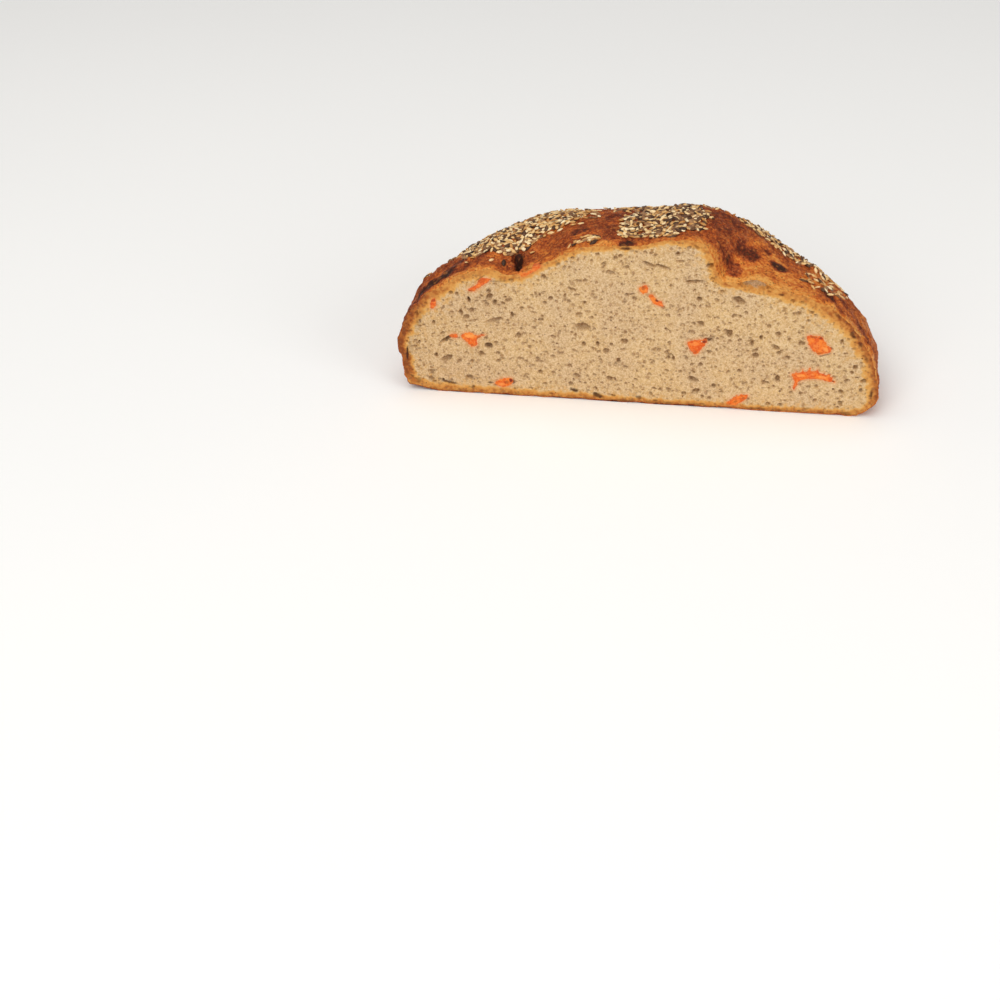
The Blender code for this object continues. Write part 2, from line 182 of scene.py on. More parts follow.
# Crumb
CRUMB_STEP = 0.00042
CRUMB_INSET = 0.0003
CRUMB_THICK = 0.0070
LEAST_DEPTH = 0.00002  # no spot of the cut lies nearer to the cut's plane
PORE_KINDS = ((1100, 0.0004, 0.00075, 1.3), (190, 0.00075, 0.00105, 1.35), (16, 0.0011, 0.0015, 1.6))
PORE_SEED = 5
PORE_DEPTH, PORE_TILT = 1.3, 28

# Air pockets that are cut into the solid: x, z, half length, half height, depth, tilt
AIR_POCKETS = (
    (0.0513, 0.064, 0.0096, 0.0032, 0.0034, -10), (-0.023, 0.038, 0.0038, 0.0019, 0.002, 0),
    (-0.0861, 0.0177, 0.0032, 0.0014, 0.0018, 30), (-0.0661, 0.026, 0.0019, 0.0012, 0.0018, 0),
    (-0.0645, 0.0508, 0.0018, 0.0013, 0.0022, 50), (-0.063, 0.039, 0.0048, 0.0011, 0.001, 18),
    (-0.086, 0.0277, 0.004, 0.0008, 0.002, 37), (0.0455, 0.0554, 0.0029, 0.0017, 0.0022, -28),
    (0.0328, 0.0716, 0.0019, 0.0011, 0.0018, 24), (0.0067, 0.0707, 0.0034, 0.0008, 0.0016, -20),
    (0.0127, 0.0698, 0.0036, 0.0008, 0.0016, -16), (0.026, 0.0636, 0.0042, 0.0007, 0.0016, 6),
    (0.0268, 0.0142, 0.0027, 0.0013, 0.002, -18), (0.064, 0.0171, 0.0011, 0.0019, 0.0022, 0),
    (0.0918, 0.0123, 0.0014, 0.001, 0.0018, -20), (0.0287, 0.055, 0.0012, 0.0011, 0.0022, 0),
)
# Smaller pores that stand out on the cut, in millimetres: x, z, half length, half height, tilt
PORES = (
    (-82, 51.9, 1, 0.9, 0), (-79.4, 51.6, 0.8, 1, 0), (-74, 48.7, 0.7, 1.8, 10),
    (-70.6, 48.3, 1.2, 0.6, 30), (-64.7, 53.4, 1.2, 1.1, 20), (-62.2, 48.1, 1, 1.5, -20),
    (-73.1, 43.5, 1.3, 1.3, 0), (-75.7, 40, 1.4, 1.2, 10), (-72.2, 38.4, 2.2, 0.5, 20),
    (-82.3, 41.9, 1, 0.7, 0), (-91, 36.2, 0.7, 1, 0), (-98.4, 25.6, 0.6, 0.9, 0),
    (-90.9, 19, 0.9, 1.3, 0), (-93.7, 10.4, 1.9, 0.9, 8), (-55.3, 49.8, 1.3, 0.8, 10),
    (-54.6, 42.4, 0.8, 1.4, 0), (-50, 46, 1, 0.8, 10), (-44.8, 44.1, 1.7, 0.6, -5),
    (-41.8, 53, 0.7, 0.9, 0), (-36.7, 51.9, 1, 0.8, 10), (-39.7, 62.1, 1.2, 1.3, -10),
    (-24.2, 60.9, 1.5, 0.8, -15), (-27.4, 56.8, 2.4, 0.8, -18), (-30.3, 53.7, 0.6, 0.8, 0),
    (-28.8, 50.7, 1.2, 0.9, 0), (-21.8, 50.4, 1, 1, 0), (-13, 69.7, 1.2, 0.9, 0),
    (-9.7, 65.8, 1.6, 0.7, 0), (0.3, 53.8, 1.2, 0.9, -15), (-52, 31.9, 1.4, 1.3, 10),
    (-27.8, 34.9, 0.9, 0.7, 45), (-22.4, 29.3, 1, 1.2, 0), (-16.2, 29.7, 0.9, 1.3, 0),
    (-10, 30, 0.8, 0.9, 0), (-4.1, 32.1, 1.8, 1.2, 0), (-10.2, 43.4, 0.9, 0.8, -40),
    (-69.7, 21.3, 1.2, 1.4, 0), (-60.2, 19.2, 1.4, 0.7, 0), (-51.8, 19.9, 1.6, 0.8, 0),
    (-42.9, 18.9, 2.4, 0.7, 0), (-42.7, 13.3, 1, 1.1, 0), (-6.9, 21.6, 1, 1.5, 0),
    (-8.7, 12, 0.7, 0.8, 0), (-24.5, 44.4, 1.7, 0.9, 15), (29.8, 42.9, 1.2, 1.4, 0),
    (42.2, 38.9, 1.4, 1.8, 0), (63.4, 39.8, 1.4, 1.2, 0), (61.5, 46, 0.8, 0.5, 0),
    (46.6, 47.6, 0.6, 0.8, 0), (35.4, 46.1, 0.6, 0.7, 0), (52.1, 34.1, 0.8, 1.2, 0),
    (54, 28.4, 1.5, 1.4, 0), (63.9, 30.2, 1, 1, 0), (68, 28.2, 1.2, 1.1, -15), (46.3, 27.5, 1, 0.6, 25),
    (42.4, 35, 0.9, 0.8, 20), (15.6, 24.7, 1, 0.9, 0), (17.8, 24.4, 0.7, 1.2, 0),
    (7.7, 22.9, 0.8, 0.6, -20), (29.9, 22.2, 0.9, 1.1, 0), (49.8, 13.9, 1.5, 0.6, 20),
    (53.5, 16.1, 1.4, 0.5, 20), (58.9, 14.9, 2, 0.8, -15), (45.9, 11.4, 1, 0.6, 0), (36, 11.3, 1, 1.2, 0),
    (15.8, 8.2, 1.2, 0.9, -15), (12, 8, 0.7, 0.8, 0), (31, 5.3, 0.8, 1, 0), (34.1, 4.7, 1.2, 0.9, 45),
    (74.3, 10.2, 0.8, 1, 0), (81, 14.5, 0.9, 0.8, 0), (94.1, 18.2, 0.9, 0.9, 0),
    (100.4, 13.5, 0.8, 1.1, 0), (97.2, 25.1, 1, 1.2, 0), (90.7, 37.8, 0.9, 1.1, 0),
    (65.4, 52.5, 1, 0.6, -15), (55.9, 37.4, 0.8, 1.4, 0), (20.3, 72.9, 2, 0.8, 0),
    (32.3, 35.2, 1.2, 0.8, 10), (34.4, 34.8, 0.9, 0.8, 30),
)
# Burnt streaks, painted shadows and painted shade on the cut, in millimetres: x, z, half length, half height,
# tilt, how dark
CHARS_AND_SHADOWS = (
    (-85.8, 5.2, 4.3, 0.8, -12, 0.85), (-66.2, 6.1, 1.4, 0.6, 0, 0.8), (-55.2, 7.4, 0.9, 1.3, 0, 0.7),
    (-27.3, 4.8, 2.2, 1, -20, 0.9), (-16.2, 2.6, 2.8, 1.2, -15, 0.85), (2.6, 3, 2, 0.9, -15, 0.7),
    (-104.5, 19.2, 0.6, 4.2, -3, 0.95), (-100, 5, 1.2, 2.2, -30, 0.5), (105.2, 12, 0.8, 2.2, 0, 0.85),
    # the first two rows below are painted shadow beside the carrot curl
    (-68, 60.2, 3.4, 0.35, 36, 0.55), (-60, 58.9, 5, 0.5, 4, 0.45), (63.6, 59.3, 1.3, 0.6, -8, 0.85),
    # the three rows below are painted shadows beside the carrot wedges
    (-66.2, 25.4, 1.8, 0.8, -10, 0.55), (33.6, 35, 1.3, 0.7, 15, 0.85), (84.6, 30.9, 2.6, 0.4, 22, 0.6),
    (-84.6, 28.2, 2.6, 0.5, 40, 0.45), (-40, 0.7, 9, 0.5, 0, 0.45), (18, 0.5, 12, 0.5, 0, 0.5),
    (66, 0.6, 10, 0.5, 0, 0.4), (93, 1.2, 4, 0.7, 12, 0.5), (-76, 0.8, 7, 0.5, 0, 0.35),
    (88.2, 50.4, 2.4, 0.8, -42, 0.5), (95, 41.4, 2.2, 1, -55, 0.75), (98.6, 36.8, 1.6, 0.8, -62, 0.7),
    # the last two rows below are painted shade along the left side of the cut
    (102, 29.4, 1.6, 0.8, -72, 0.5), (-97.6, 37, 1.8, 7, -18, 0.22), (-102.8, 22, 1.4, 7, -5, 0.18),
    (56.4, 63.4, 0.9, 0.5, 10, 0.5), (-3.2, 77.9, 2.6, 0.9, 0, 0.9), (-45, 4, 0.8, 0.5, 0, 0.5),
    (-38, 2.2, 1.2, 0.5, -8, 0.5), (-20.6, 5.2, 0.6, 0.5, 0, 0.6), (-9, 3.2, 1, 0.5, 0, 0.6),
    (10, 2, 1.2, 0.6, 0, 0.6), (-90, 6.5, 1.2, 0.6, -10, 0.6), (-75, 3, 1.6, 0.6, -5, 0.5),
    (31, 1.6, 1.4, 0.5, 0, 0.6), (58, 2.4, 1.2, 0.5, 0, 0.5), (78, 2.6, 1.4, 0.5, 4, 0.5),
)

# Carrot pieces: node, depth, and the outline of its cut end in millimetres, x and z
CARROT_PIECES = (
    ("carrot_rim_shred", 0.0024, (
        (-91.9, 43.8), (-91.8, 45.9), (-90.7, 48.5), (-89.2, 47.6), (-89.1, 45.5), (-90.6, 43.4),
    )),
    ("carrot_curl", 0.0032, (
        (-73.9, 54), (-71.7, 53.1), (-69.8, 54.3), (-67.4, 56.2), (-63.7, 59.1), (-64.1, 60.1),
        (-68.1, 59.8), (-70.1, 56.7),
    )),
    ("carrot_crust_shred", 0.003, (
        (-50.5, 63), (-48.3, 61.8), (-45.1, 63.8), (-42.4, 65.4), (-40.2, 67.9), (-42.8, 67.1),
        (-46.4, 64.9),
    )),
    ("carrot_crumb_left", 0.0022, (
        (-83.7, 29.9), (-82.3, 28.9), (-80.5, 29), (-80.4, 30.6), (-82.2, 31),
    )),
    ("carrot_wedge_left", 0.004, (
        (-78.6, 29.6), (-76.4, 27.2), (-73.8, 24.7), (-71.4, 25.9), (-70.8, 29.1), (-67.4, 31.4),
        (-70.2, 30.7), (-76.2, 31.9),
    )),
    ("carrot_base_left", 0.0034, (
        (-64, 6.3), (-61.8, 4.3), (-58.5, 4.5), (-56.1, 6.3), (-55.9, 9), (-60.2, 8.7),
    )),
    ("carrot_shred_upper", 0.0022, (
        (2.4, 58.9), (3.7, 56.5), (5.9, 57.1), (6.4, 59.6), (5, 60.5),
    )),
    ("carrot_shred_slant", 0.0024, (
        (6.8, 55.2), (9.4, 51.4), (12.9, 50.6), (12.5, 52.5), (10.3, 53.9), (8.1, 56.2),
    )),
    ("carrot_wedge_middle", 0.004, (
        (23.7, 33.1), (25.5, 29.1), (27.8, 27.2), (30.4, 30.5), (32.5, 34.2), (29.8, 35), (26.3, 34.3),
    )),
    ("carrot_wedge_right", 0.0042, (
        (75.6, 39.5), (77.7, 33.6), (81.3, 30.8), (86.3, 32.6), (84.4, 36), (82, 39.4), (79, 40.2),
    )),
    ("carrot_comb", 0.0026, (
        (69.9, 19.8), (71.3, 16.6), (71, 13.2), (71.7, 12.2), (72.8, 14.8), (73.6, 16.4), (76.5, 17.7),
        (79.6, 18.1), (82.6, 18.1), (86, 17.4), (89.1, 16.8), (88, 18.6), (86.3, 20.4), (84.6, 20.6),
        (84.2, 21.9), (83.5, 21.3), (81.8, 21.8), (81.2, 23.4), (80.4, 22.2), (78.4, 22.2), (77.8, 23.6),
        (76.9, 22), (75.4, 21.8), (74.8, 22.9), (73.9, 21.3), (72.6, 20.9), (72, 21.8), (71.3, 20.4),
    )),
    ("carrot_base_right", 0.0034, (
        (41.9, 2.6), (45.5, 1.8), (48.5, 3.6), (51.5, 7.5), (47.1, 7.2), (44, 4.9),
    )),
)
# Tints and painted light and shade on the carrot, in millimetres: x, z, half length, half height, tilt, from
# -1 dark to 1 amber
# below 0 is partly redder tone and partly painted shade on edges and shadow lines; above 0 is partly amber
# tone and partly painted light on lit parts
CARROT_TINTS_AND_SHADE = (
    (-74.5, 30.2, 3, 1.2, 0, 0.6), (-70.3, 29.6, 1.5, 1.2, 0, -0.5), (-73.5, 25.6, 1.2, 0.8, -30, -0.4),
    (-82.5, 30.2, 1.2, 0.8, 0, -0.4), (-90.3, 47.5, 1.2, 0.9, 30, -0.6), (-67.2, 58.9, 3, 1.1, 15, -0.35),
    (-72.5, 53.6, 1.6, 0.8, 10, -0.5), (-69, 56, 1.4, 0.8, 40, 0.3), (-48.5, 62.6, 2, 0.8, 25, -0.25),
    (-44, 65.4, 2, 0.8, 30, 0.3), (-61, 5.4, 1.8, 1.2, 0, 0.5), (-58.4, 6.9, 1.3, 1.2, 0, -0.5),
    (-56.5, 8, 0.9, 1.2, 0, -0.9), (4.4, 59.2, 1.2, 1.2, 0, -0.5), (10.3, 53.4, 1.1, 0.8, -40, -0.9),
    (7.8, 55.4, 0.9, 0.8, 0, -0.3), (12, 51.6, 1.2, 0.6, -20, 0.4), (27, 32.6, 2.6, 1.2, 10, 0.4),
    (31.4, 34, 1.3, 0.8, 20, -0.8), (27.6, 28.6, 1.1, 1, 0, -0.4), (78.4, 39.4, 2.4, 0.8, -8, -0.5),
    (81.6, 39, 0.9, 0.8, 0, -0.7), (84, 33.4, 1.8, 1.2, -40, 0.6), (79.6, 35, 1.5, 1.2, -20, 0.35),
    (81, 31.4, 2.4, 0.5, 5, -0.5), (74, 19.6, 2.2, 0.9, 0, 0.5), (83.5, 19.4, 2.4, 0.9, -8, 0.5),
    (79, 20.4, 1.6, 0.7, 0, 0.4), (88.3, 17.6, 0.8, 0.6, 0, -0.7), (84.2, 21.4, 0.6, 0.6, 0, -0.6),
    (46, 4.2, 1.2, 0.8, 25, -0.45), (49.2, 6, 1.1, 0.7, 30, -0.5), (43.2, 2.6, 1.2, 0.6, 15, -0.3),
)
CARROT_STEP = 0.00022
CARROT_ROUNDING = 6
CARROT_SWELL = 0.00035
CARROT_STAIN = 0.0009

# Seed patches: x, y behind the cut, half length, half width, turn, linseed, sesame, share on the border
SEED_PATCHES = (
    (-0.057, 0.038, 0.028, 0.022, 14, 250, 560, 0), (-0.0215, 0.0063, 0.006, 0.0036, 0, 4, 16, 0),
    (0.0115, 0.025, 0.018, 0.02, 0, 210, 260, 0.4), (0.008, 0.056, 0.022, 0.015, 0, 80, 100, 0.1),
    (0.064, 0.047, 0.025, 0.011, -24, 80, 140, 0.2), (0.081, 0.02, 0.011, 0.008, 60, 10, 26, 0),
    (-0.095, 0.02, 0.004, 0.003, 40, 1, 3, 0), (-0.02, 0.08, 0.036, 0.012, 8, 60, 90, 0),
    (0.042, 0.076, 0.024, 0.011, -16, 40, 60, 0),
)
LINSEED = (0.0047, 0.0024, 0.0011)
SESAME = (0.0033, 0.0018, 0.0009)
LINSEED_LIFT, SESAME_LIFT = (0.05, 0.45), (0.15, 0.75)  # a seed's middle above the crust, in thicknesses
SEED_YAW, SEED_LEAN = 0.9, 0.14  # how unevenly the seeds turn and tip
SEED_GROWN = (0.88, 1.1)
TOO_STEEP = 0.12  # no seeds where the crust's upward slope is under this
PATCH_SQUARENESS = 0.85
STRAY_SHARE = 0.09
SEED_TRIES = 10
SEED_FROM_CUT = 0.0012
# Places without seeds: x, y behind the cut, half length, half width
BARE_SPOTS = ((-0.0875, 0.015, 0.0095, 0.01), (-0.0525, 0.009, 0.005, 0.008), (0.0285, 0.004, 0.009, 0.01))
SEED_RANDOM = 23

# The photograph's camera
CAMERA_PLACE = (0.08140, -0.70375, 0.41638)
CAMERA_TURN = (54.4577, 2.6047, 10.7760)
CAMERA_LENS, CAMERA_SENSOR = 61.2, 36.0


def smooth(low, high, value):
    """0 below low, 1 above high, and an even S between them."""
    share = np.clip((value - low) / (high - low), 0.0, 1.0)
    return share * share * (3 - 2 * share)


def bell(distance, width):
    return np.exp(-((distance / width) ** 2))


def side_mix(x, left, right):
    """A size that changes evenly from the loaf's left side to its right side."""
    return left + (right - left) * np.clip(0.5 + x / WIDTH, 0.0, 1.0)


def deselect():
    bpy.ops.object.select_all(action="DESELECT")


def edit(on=True):
    bpy.ops.object.mode_set(mode="EDIT" if on else "OBJECT")


def name_added(name):
    """Names the piece that an operator has just added."""
    piece = bpy.context.object
    piece.name = piece.data.name = name
    return piece


def mask_of(piece, chosen):
    """A true or false for each vertex: true where its number is among the chosen."""
    mask = np.zeros(len(piece.data.vertices), dtype=bool)
    mask[chosen] = True
    return mask


def face_outward():
    bpy.ops.mesh.select_all(action="SELECT")
    bpy.ops.mesh.normals_make_consistent(inside=False)


def points_of(piece):
    """The piece's vertices as an array of x, y, z."""
    flat = np.empty(len(piece.data.vertices) * 3)
    piece.data.vertices.foreach_get("co", flat)
    return flat.reshape(-1, 3)


def place_points(piece, points):
    piece.data.vertices.foreach_set("co", np.asarray(points, dtype=np.float64).ravel())
    piece.data.update()


def normals_of(piece):
    flat = np.empty(len(piece.data.vertices) * 3)
    piece.data.vertex_normals.foreach_get("vector", flat)
    return flat.reshape(-1, 3)


def paint(piece, name, values, behind=0.0):
    """Keeps a number for each vertex, for the piece's material. Vertices past the values get behind's."""
    numbers = np.full(len(piece.data.vertices), behind)
    numbers[:len(values)] = values
    piece.data.attributes.new(name, "FLOAT", "POINT").data.foreach_set("value", numbers)


def select_vertices(piece, chosen):
    """Selects the chosen vertices and the edges and faces between them, for edit mode."""
    edit()
    bpy.ops.mesh.select_mode(type="VERT")
    bpy.ops.mesh.select_all(action="DESELECT")
    edit(False)
    piece.data.vertices.foreach_set("select", np.asarray(chosen, dtype=bool))
    edit()
    bpy.ops.mesh.select_mode(type="VERT")


def noise_field(points, size, offset=Vector()):
    """Smooth noise from about -1 to 1 at each point."""
    return np.array([noise.noise(Vector(p) / size + offset) for p in points])


def crust_relief(x, y):
    """How far the crust's top stands above the plain dome at spots behind the cut."""
    bumps = sum(rise * bell(x - bx, wide) * bell(y - by, long) for bx, by, rise, wide, long in BUMPS)
    sag_wide = np.where(x < SAG_X, SAG_OUTER, SAG_INNER)
    sag = SAG_DROP * bell(x - SAG_X, sag_wide) * bell(y, SAG_LONG)
    return bumps - sag - BURST_DROP * burst_share(x, y)


def burst_wall(x, y):
    """The burst's steep left side: 0 to its left, 1 past it."""
    return smooth(BURST_X - BURST_WALL, BURST_X, x - BURST_SLANT * y)


def burst_share(x, y):
    """How far a spot lies in the burst, from 0 outside it to 1 at its deepest."""
    along = np.clip((x - BURST_X) / (BURST_END - BURST_X), 0.0, 1.0)
    return burst_wall(x, y) * (1 - along) ** BURST_EASE * (1 - smooth(0.0, BURST_LONG, y))


def loaf_form(ball):
    """Draws points of a unit half ball out to the plain dome, its undercut sides and its flat base."""
    bx, by, bz = ball.T
    by = np.clip(by, 0.0, 1.0)
    rise = np.clip(bz, 0.0, 1.0)
    spread = np.sqrt(1 - rise**2)
    across = np.maximum(0.0, spread**PLAN_POWER - np.minimum(by, spread) ** PLAN_POWER) ** (1 / PLAN_POWER)
    top_x = HALF_WIDTH * np.sign(bx) * across
    waist = side_mix(top_x, WAIST_LEFT, WAIST_RIGHT)
    top = np.stack((top_x, DEPTH * by, waist + (CROWN - waist) * rise), axis=1)

    level = np.maximum(np.hypot(bx, by), 1e-9)
    side_y = np.clip(by / level, 0.0, 1.0)
    side_x = HALF_WIDTH * np.sign(bx) * (1 - side_y**PLAN_POWER) ** (1 / PLAN_POWER)
    dip = np.arcsin(np.clip(-bz, 0.0, 1.0))
    angle = np.clip(dip / UNDERCUT_DIP, 0.0, 1.0) * math.pi / 2
    inset = side_mix(side_x, BASE_INSET_LEFT, BASE_INSET_RIGHT)
    reach = np.hypot(side_x, DEPTH * side_y)
    keep = 1 - inset * (1 - np.cos(angle)) / np.maximum(reach, 1e-9)
    keep *= np.minimum(1.0, np.cos(dip) / math.cos(UNDERCUT_DIP))
    side_waist = side_mix(side_x, WAIST_LEFT, WAIST_RIGHT)
    under = np.stack((side_x * keep, DEPTH * side_y * keep, side_waist * (1 - np.sin(angle))), axis=1)
    return np.where((bz >= 0)[:, None], top, under)


def crack_depth(x, y):
    """A short crack that runs back from the cut over the sag."""
    middle = CRACK_X + CRACK_LEAN * y + CRACK_SWAY * np.sin(y * CRACK_SWAYS)
    ends = (0.12 + 0.88 * smooth(0.0, 0.0085, y)) * (1 - smooth(0.6 * CRACK_LONG, CRACK_LONG, y))
    return CRACK_DEEP * bell(x - middle, CRACK_WIDE) * ends


def shape_crust(crust):
    """Moves the half ball's points to the loaf's crust, with its large relief and its lumps."""
    points = loaf_form(points_of(crust))
    place_points(crust, points)
    normals = normals_of(crust)
    x, y, z = points.T
    lumps = LUMP_RISE * noise_field(points, LUMP_SIZE, LUMP_OFFSET)
    lumps += RIPPLE_RISE * noise_field(points, RIPPLE_SIZE)
    shift = normals * (lumps * smooth(0.0, UNEVEN_FROM, z))[:, None]
    upright = smooth(RELIEF_LOW, RELIEF_HIGH, z)
    shift[:, 2] += (crust_relief(x, y) - crack_depth(x, y)) * upright
    at_cut = y < ON_PLANE
    shift[at_cut, 1] = 0.0
    points = points + shift
    middle = (points[:, 0].min() + points[:, 0].max()) / 2
    place_points(crust, points + (-middle, cut_y, 0.0))
    return -middle


def wrinkle(crust, name, kind, size, strength):
    """Pushes the crust in and out by a procedural texture, and applies it."""
    texture = bpy.data.textures.new(name, kind)
    texture.noise_scale = size
    modifier = crust.modifiers.new(name, "DISPLACE")
    modifier.texture = texture
    modifier.texture_coords = "LOCAL"
    modifier.strength = strength
    modifier.mid_level = WRINKLE_MIDDLE
    modifier.vertex_group = WRINKLE_GROUP
    bpy.ops.object.modifier_apply(modifier=name)


def crust_surface():
    """Half a ball, cut at the loaf's cut and at its base, drawn out to the crust and wrinkled."""
    deselect()
    bpy.ops.mesh.primitive_ico_sphere_add(subdivisions=BALL_FINENESS, radius=1.0)
    crust = name_added("crust")
    edit()
    bpy.ops.mesh.select_all(action="SELECT")
    bpy.ops.mesh.bisect(plane_co=(0, 0, 0), plane_no=(0, 1, 0), clear_inner=True)
    bpy.ops.mesh.select_all(action="SELECT")
    bpy.ops.mesh.bisect(plane_co=(0, 0, BASE_CUT), plane_no=(0, 0, 1), clear_inner=True)
    edit(False)
    ball = points_of(crust)
    on_base_edge = ball[:, 2] < BASE_CUT + 1e-5
    shift_x = shape_crust(crust)
    select_vertices(crust, on_base_edge)
    bpy.ops.mesh.edge_face_add()
    edit(False)
    points = points_of(crust)
    front = on_base_edge & (points[:, 1] < cut_y + ON_PLANE)
    select_vertices(crust, front)
    bpy.ops.mesh.subdivide(number_cuts=BASE_EDGE_CUTS)
    edit(False)
    roughen(crust, shift_x)
    return crust, shift_x


def roughen(crust, shift_x):
    """Wrinkles and grain: strong on the bare crust, faint in the burst and on the base."""
    points = points_of(crust)
    behind = points[:, 1] - cut_y
    in_burst = smooth(0.03, 0.25, burst_share(points[:, 0] - shift_x, behind))
    weight = (1 - BURST_CALM * in_burst) * smooth(0.0, 0.006, points[:, 2])
    group = crust.vertex_groups.new(name=WRINKLE_GROUP)
    for step in range(WRINKLE_LEVELS + 1):
        held = np.nonzero(np.round(weight * WRINKLE_LEVELS) == step)[0]
        group.add(held.tolist(), step / WRINKLE_LEVELS, "REPLACE")
    at_cut = points[:, 1] < cut_y + ON_PLANE
    for name, kind, size, strength in WRINKLES:
        wrinkle(crust, name, kind, size, strength)
    points = points_of(crust)
    points[at_cut, 1] = cut_y
    points[:, 1] = np.maximum(points[:, 1], cut_y)
    points[:, 2] = np.maximum(points[:, 2], 0.0)
    low = at_cut & (points[:, 2] < RAGGED_BELOW)
    rise = RAGGED_RISE * np.clip(noise_field(points[low], RAGGED_SIZE) + 0.25, 0.0, 1.0)
    for notch_x, half_long, notch_rise in NOTCHES:
        rise = np.maximum(rise, notch_rise * bell(points[low, 0] - shift_x - notch_x, half_long))
    points[low, 2] = rise
    corner = CORNER_RISE * smooth(CORNER_FROM, CORNER_TO, shift_x - points[:, 0])
    corner *= 1 - smooth(0.0, CORNER_LONG, points[:, 1] - cut_y)
    points[:, 2] = np.maximum(points[:, 2], corner)
    place_points(crust, points)


def rim_loop(crust):
    """The crust's vertices along the cut, in order round it."""
    points = points_of(crust)
    at_cut = points[:, 1] < cut_y + ON_PLANE
    uses = {}
    for face in crust.data.polygons:
        for key in face.edge_keys:
            uses[key] = uses.get(key, 0) + 1
    after = {}
    for (a, b), count in uses.items():
        if count == 1 and at_cut[a] and at_cut[b]:
            after.setdefault(a, []).append(b)
            after.setdefault(b, []).append(a)
    start = max(after, key=lambda i: points[i, 0])
    loop = [start]
    came_from = None
    while True:
        onwards = [i for i in after[loop[-1]] if i != came_from]
        came_from = loop[-1]
        if onwards[0] == start:
            break
        loop.append(onwards[0])
    if points[loop[len(loop) // 4], 2] < points[loop[-len(loop) // 4], 2]:
        loop.reverse()
    return loop


def inward(outline, evening):
    """Unit steps from each point of the outline (x, z) to its inside, evened out over some neighbours."""
    along = np.roll(outline, -1, axis=0) - np.roll(outline, 1, axis=0)
    steps = np.stack((-along[:, 1], along[:, 0]), axis=1)
    steps /= np.maximum(np.linalg.norm(steps, axis=1), 1e-12)[:, None]
    evened = sum(np.roll(steps, k, axis=0) for k in range(-evening, evening + 1))
    evened /= np.maximum(np.linalg.norm(evened, axis=1), 1e-12)[:, None]
    area = (outline[:, 0] * np.roll(outline[:, 1], -1) - np.roll(outline[:, 0], -1) * outline[:, 1]).sum()
    return evened if area > 0 else -evened


def close_crust(crust, loop, shift_x):
    """Gives the crust its thin edge at the cut, and a recess behind it that the crumb fills."""
    outline = points_of(crust)[loop][:, (0, 2)]
    steps = inward(outline, RIM_SMOOTHING)
    before = len(crust.data.vertices)
    select_vertices(crust, mask_of(crust, loop))
    bpy.ops.mesh.extrude_edges_move()
    edit(False)
    first = match_loop(crust, outline, before)
    points = points_of(crust)
    points[first, 0] += steps[:, 0] * RIM_WIDE
    points[first, 1] += RIM_SINK
    points[first, 2] += steps[:, 1] * RIM_WIDE
    for *_, corners in CARROT_PIECES:
        edge = rounded(np.array(corners), CARROT_ROUNDING) * MM + (shift_x, 0)
        edge -= inward(edge, 1) * CARROT_SWELL
        for ring in (np.array(loop), np.array(first)):
            covered = ring[within(points[ring][:, (0, 2)], edge)]
            points[covered, 1] = cut_y + POCKET_SINK
    place_points(crust, points)
    thicken(crust, mask_of(crust, first), RECESS, DRAWN_IN)
    clear_crack(crust, len(points), shift_x)
    return outline + steps * CRUMB_INSET, len(points)


def clear_crack(piece, first_new, shift_x):
    """Lowers the new points behind the cut where they would show in the crust's crack."""
    points = points_of(piece)
    behind = points[first_new:]
    lower = CRACK_ROOM * bell(behind[:, 0] - shift_x - CRACK_X, CRACK_ROOM_WIDE) * (behind[:, 2] > 0.04)
    points[first_new:, 2] -= lower
    place_points(piece, points)


def spot_tree(spots):
    """Finds the nearest of many spots (x, z)."""
    tree = kdtree.KDTree(len(spots))
    for i, (x, z) in enumerate(spots):
        tree.insert((x, 0.0, z), i)
    tree.balance()
    return tree


def match_loop(piece, outline, first_new):
    """The new vertices that an extrusion made, in the outline's order."""
    points = points_of(piece)
    tree = kdtree.KDTree(len(points) - first_new)
    for i in range(first_new, len(points)):
        tree.insert(points[i], i)
    tree.balance()
    return [tree.find((x, cut_y, z))[1] for x, z in outline]


def cut_sheet(name, outline, step):
    """A fine grid cut to an outline (x, z), standing at the loaf's cut.

    Gives the piece, which points are on its edge, and each point's nearest spot on the outline and how far
    that is.
    """
    low, high = outline.min(axis=0), outline.max(axis=0)
    columns = int((high[0] - low[0]) / step) + 3
    rows = int((high[1] - low[1]) / step) + 3
    deselect()
    bpy.ops.mesh.primitive_grid_add(x_subdivisions=columns, y_subdivisions=rows, size=2)
    sheet = name_added(name)
    flat = points_of(sheet) * (columns * step / 2, rows * step / 2, 0)
    middle = (low + high) / 2
    points = np.stack((flat[:, 0] + middle[0], np.full(len(flat), cut_y), flat[:, 1] + middle[1]), axis=1)
    place_points(sheet, points)
    select_vertices(sheet, ~within(points[:, (0, 2)], outline))
    bpy.ops.mesh.delete(type="VERT")
    bpy.ops.mesh.select_all(action="SELECT")
    bpy.ops.mesh.delete_loose()
    bpy.ops.mesh.select_all(action="DESELECT")
    bpy.ops.mesh.select_non_manifold(extend=False)
    edit(False)
    on_edge = np.zeros(len(sheet.data.vertices), dtype=bool)
    sheet.data.vertices.foreach_get("select", on_edge)
    dense = denser(outline, 6)
    tree = spot_tree(dense)
    points = points_of(sheet)
    found = [tree.find((x, 0.0, z)) for x, _, z in points]
    nearest = np.array([dense[f[1]] for f in found])
    distance = np.array([f[2] for f in found])
    points[on_edge, 0] = nearest[on_edge, 0]
    points[on_edge, 2] = nearest[on_edge, 1]
    distance[on_edge] = 0.0
    place_points(sheet, points)
    return sheet, on_edge, nearest, distance


def thicken(piece, on_edge, depth, drawn_in=(1.0, 1.0, 1.0)):
    """Pushes the piece's edge back and closes the piece behind."""
    select_vertices(piece, on_edge)
    bpy.ops.mesh.extrude_edges_move(TRANSFORM_OT_translate={"value": (0, depth, 0)})
    bpy.ops.transform.resize(value=drawn_in, center_override=(0, cut_y, DRAWN_TO_HEIGHT))
    bpy.ops.mesh.edge_face_add()
    face_outward()
    edit(False)


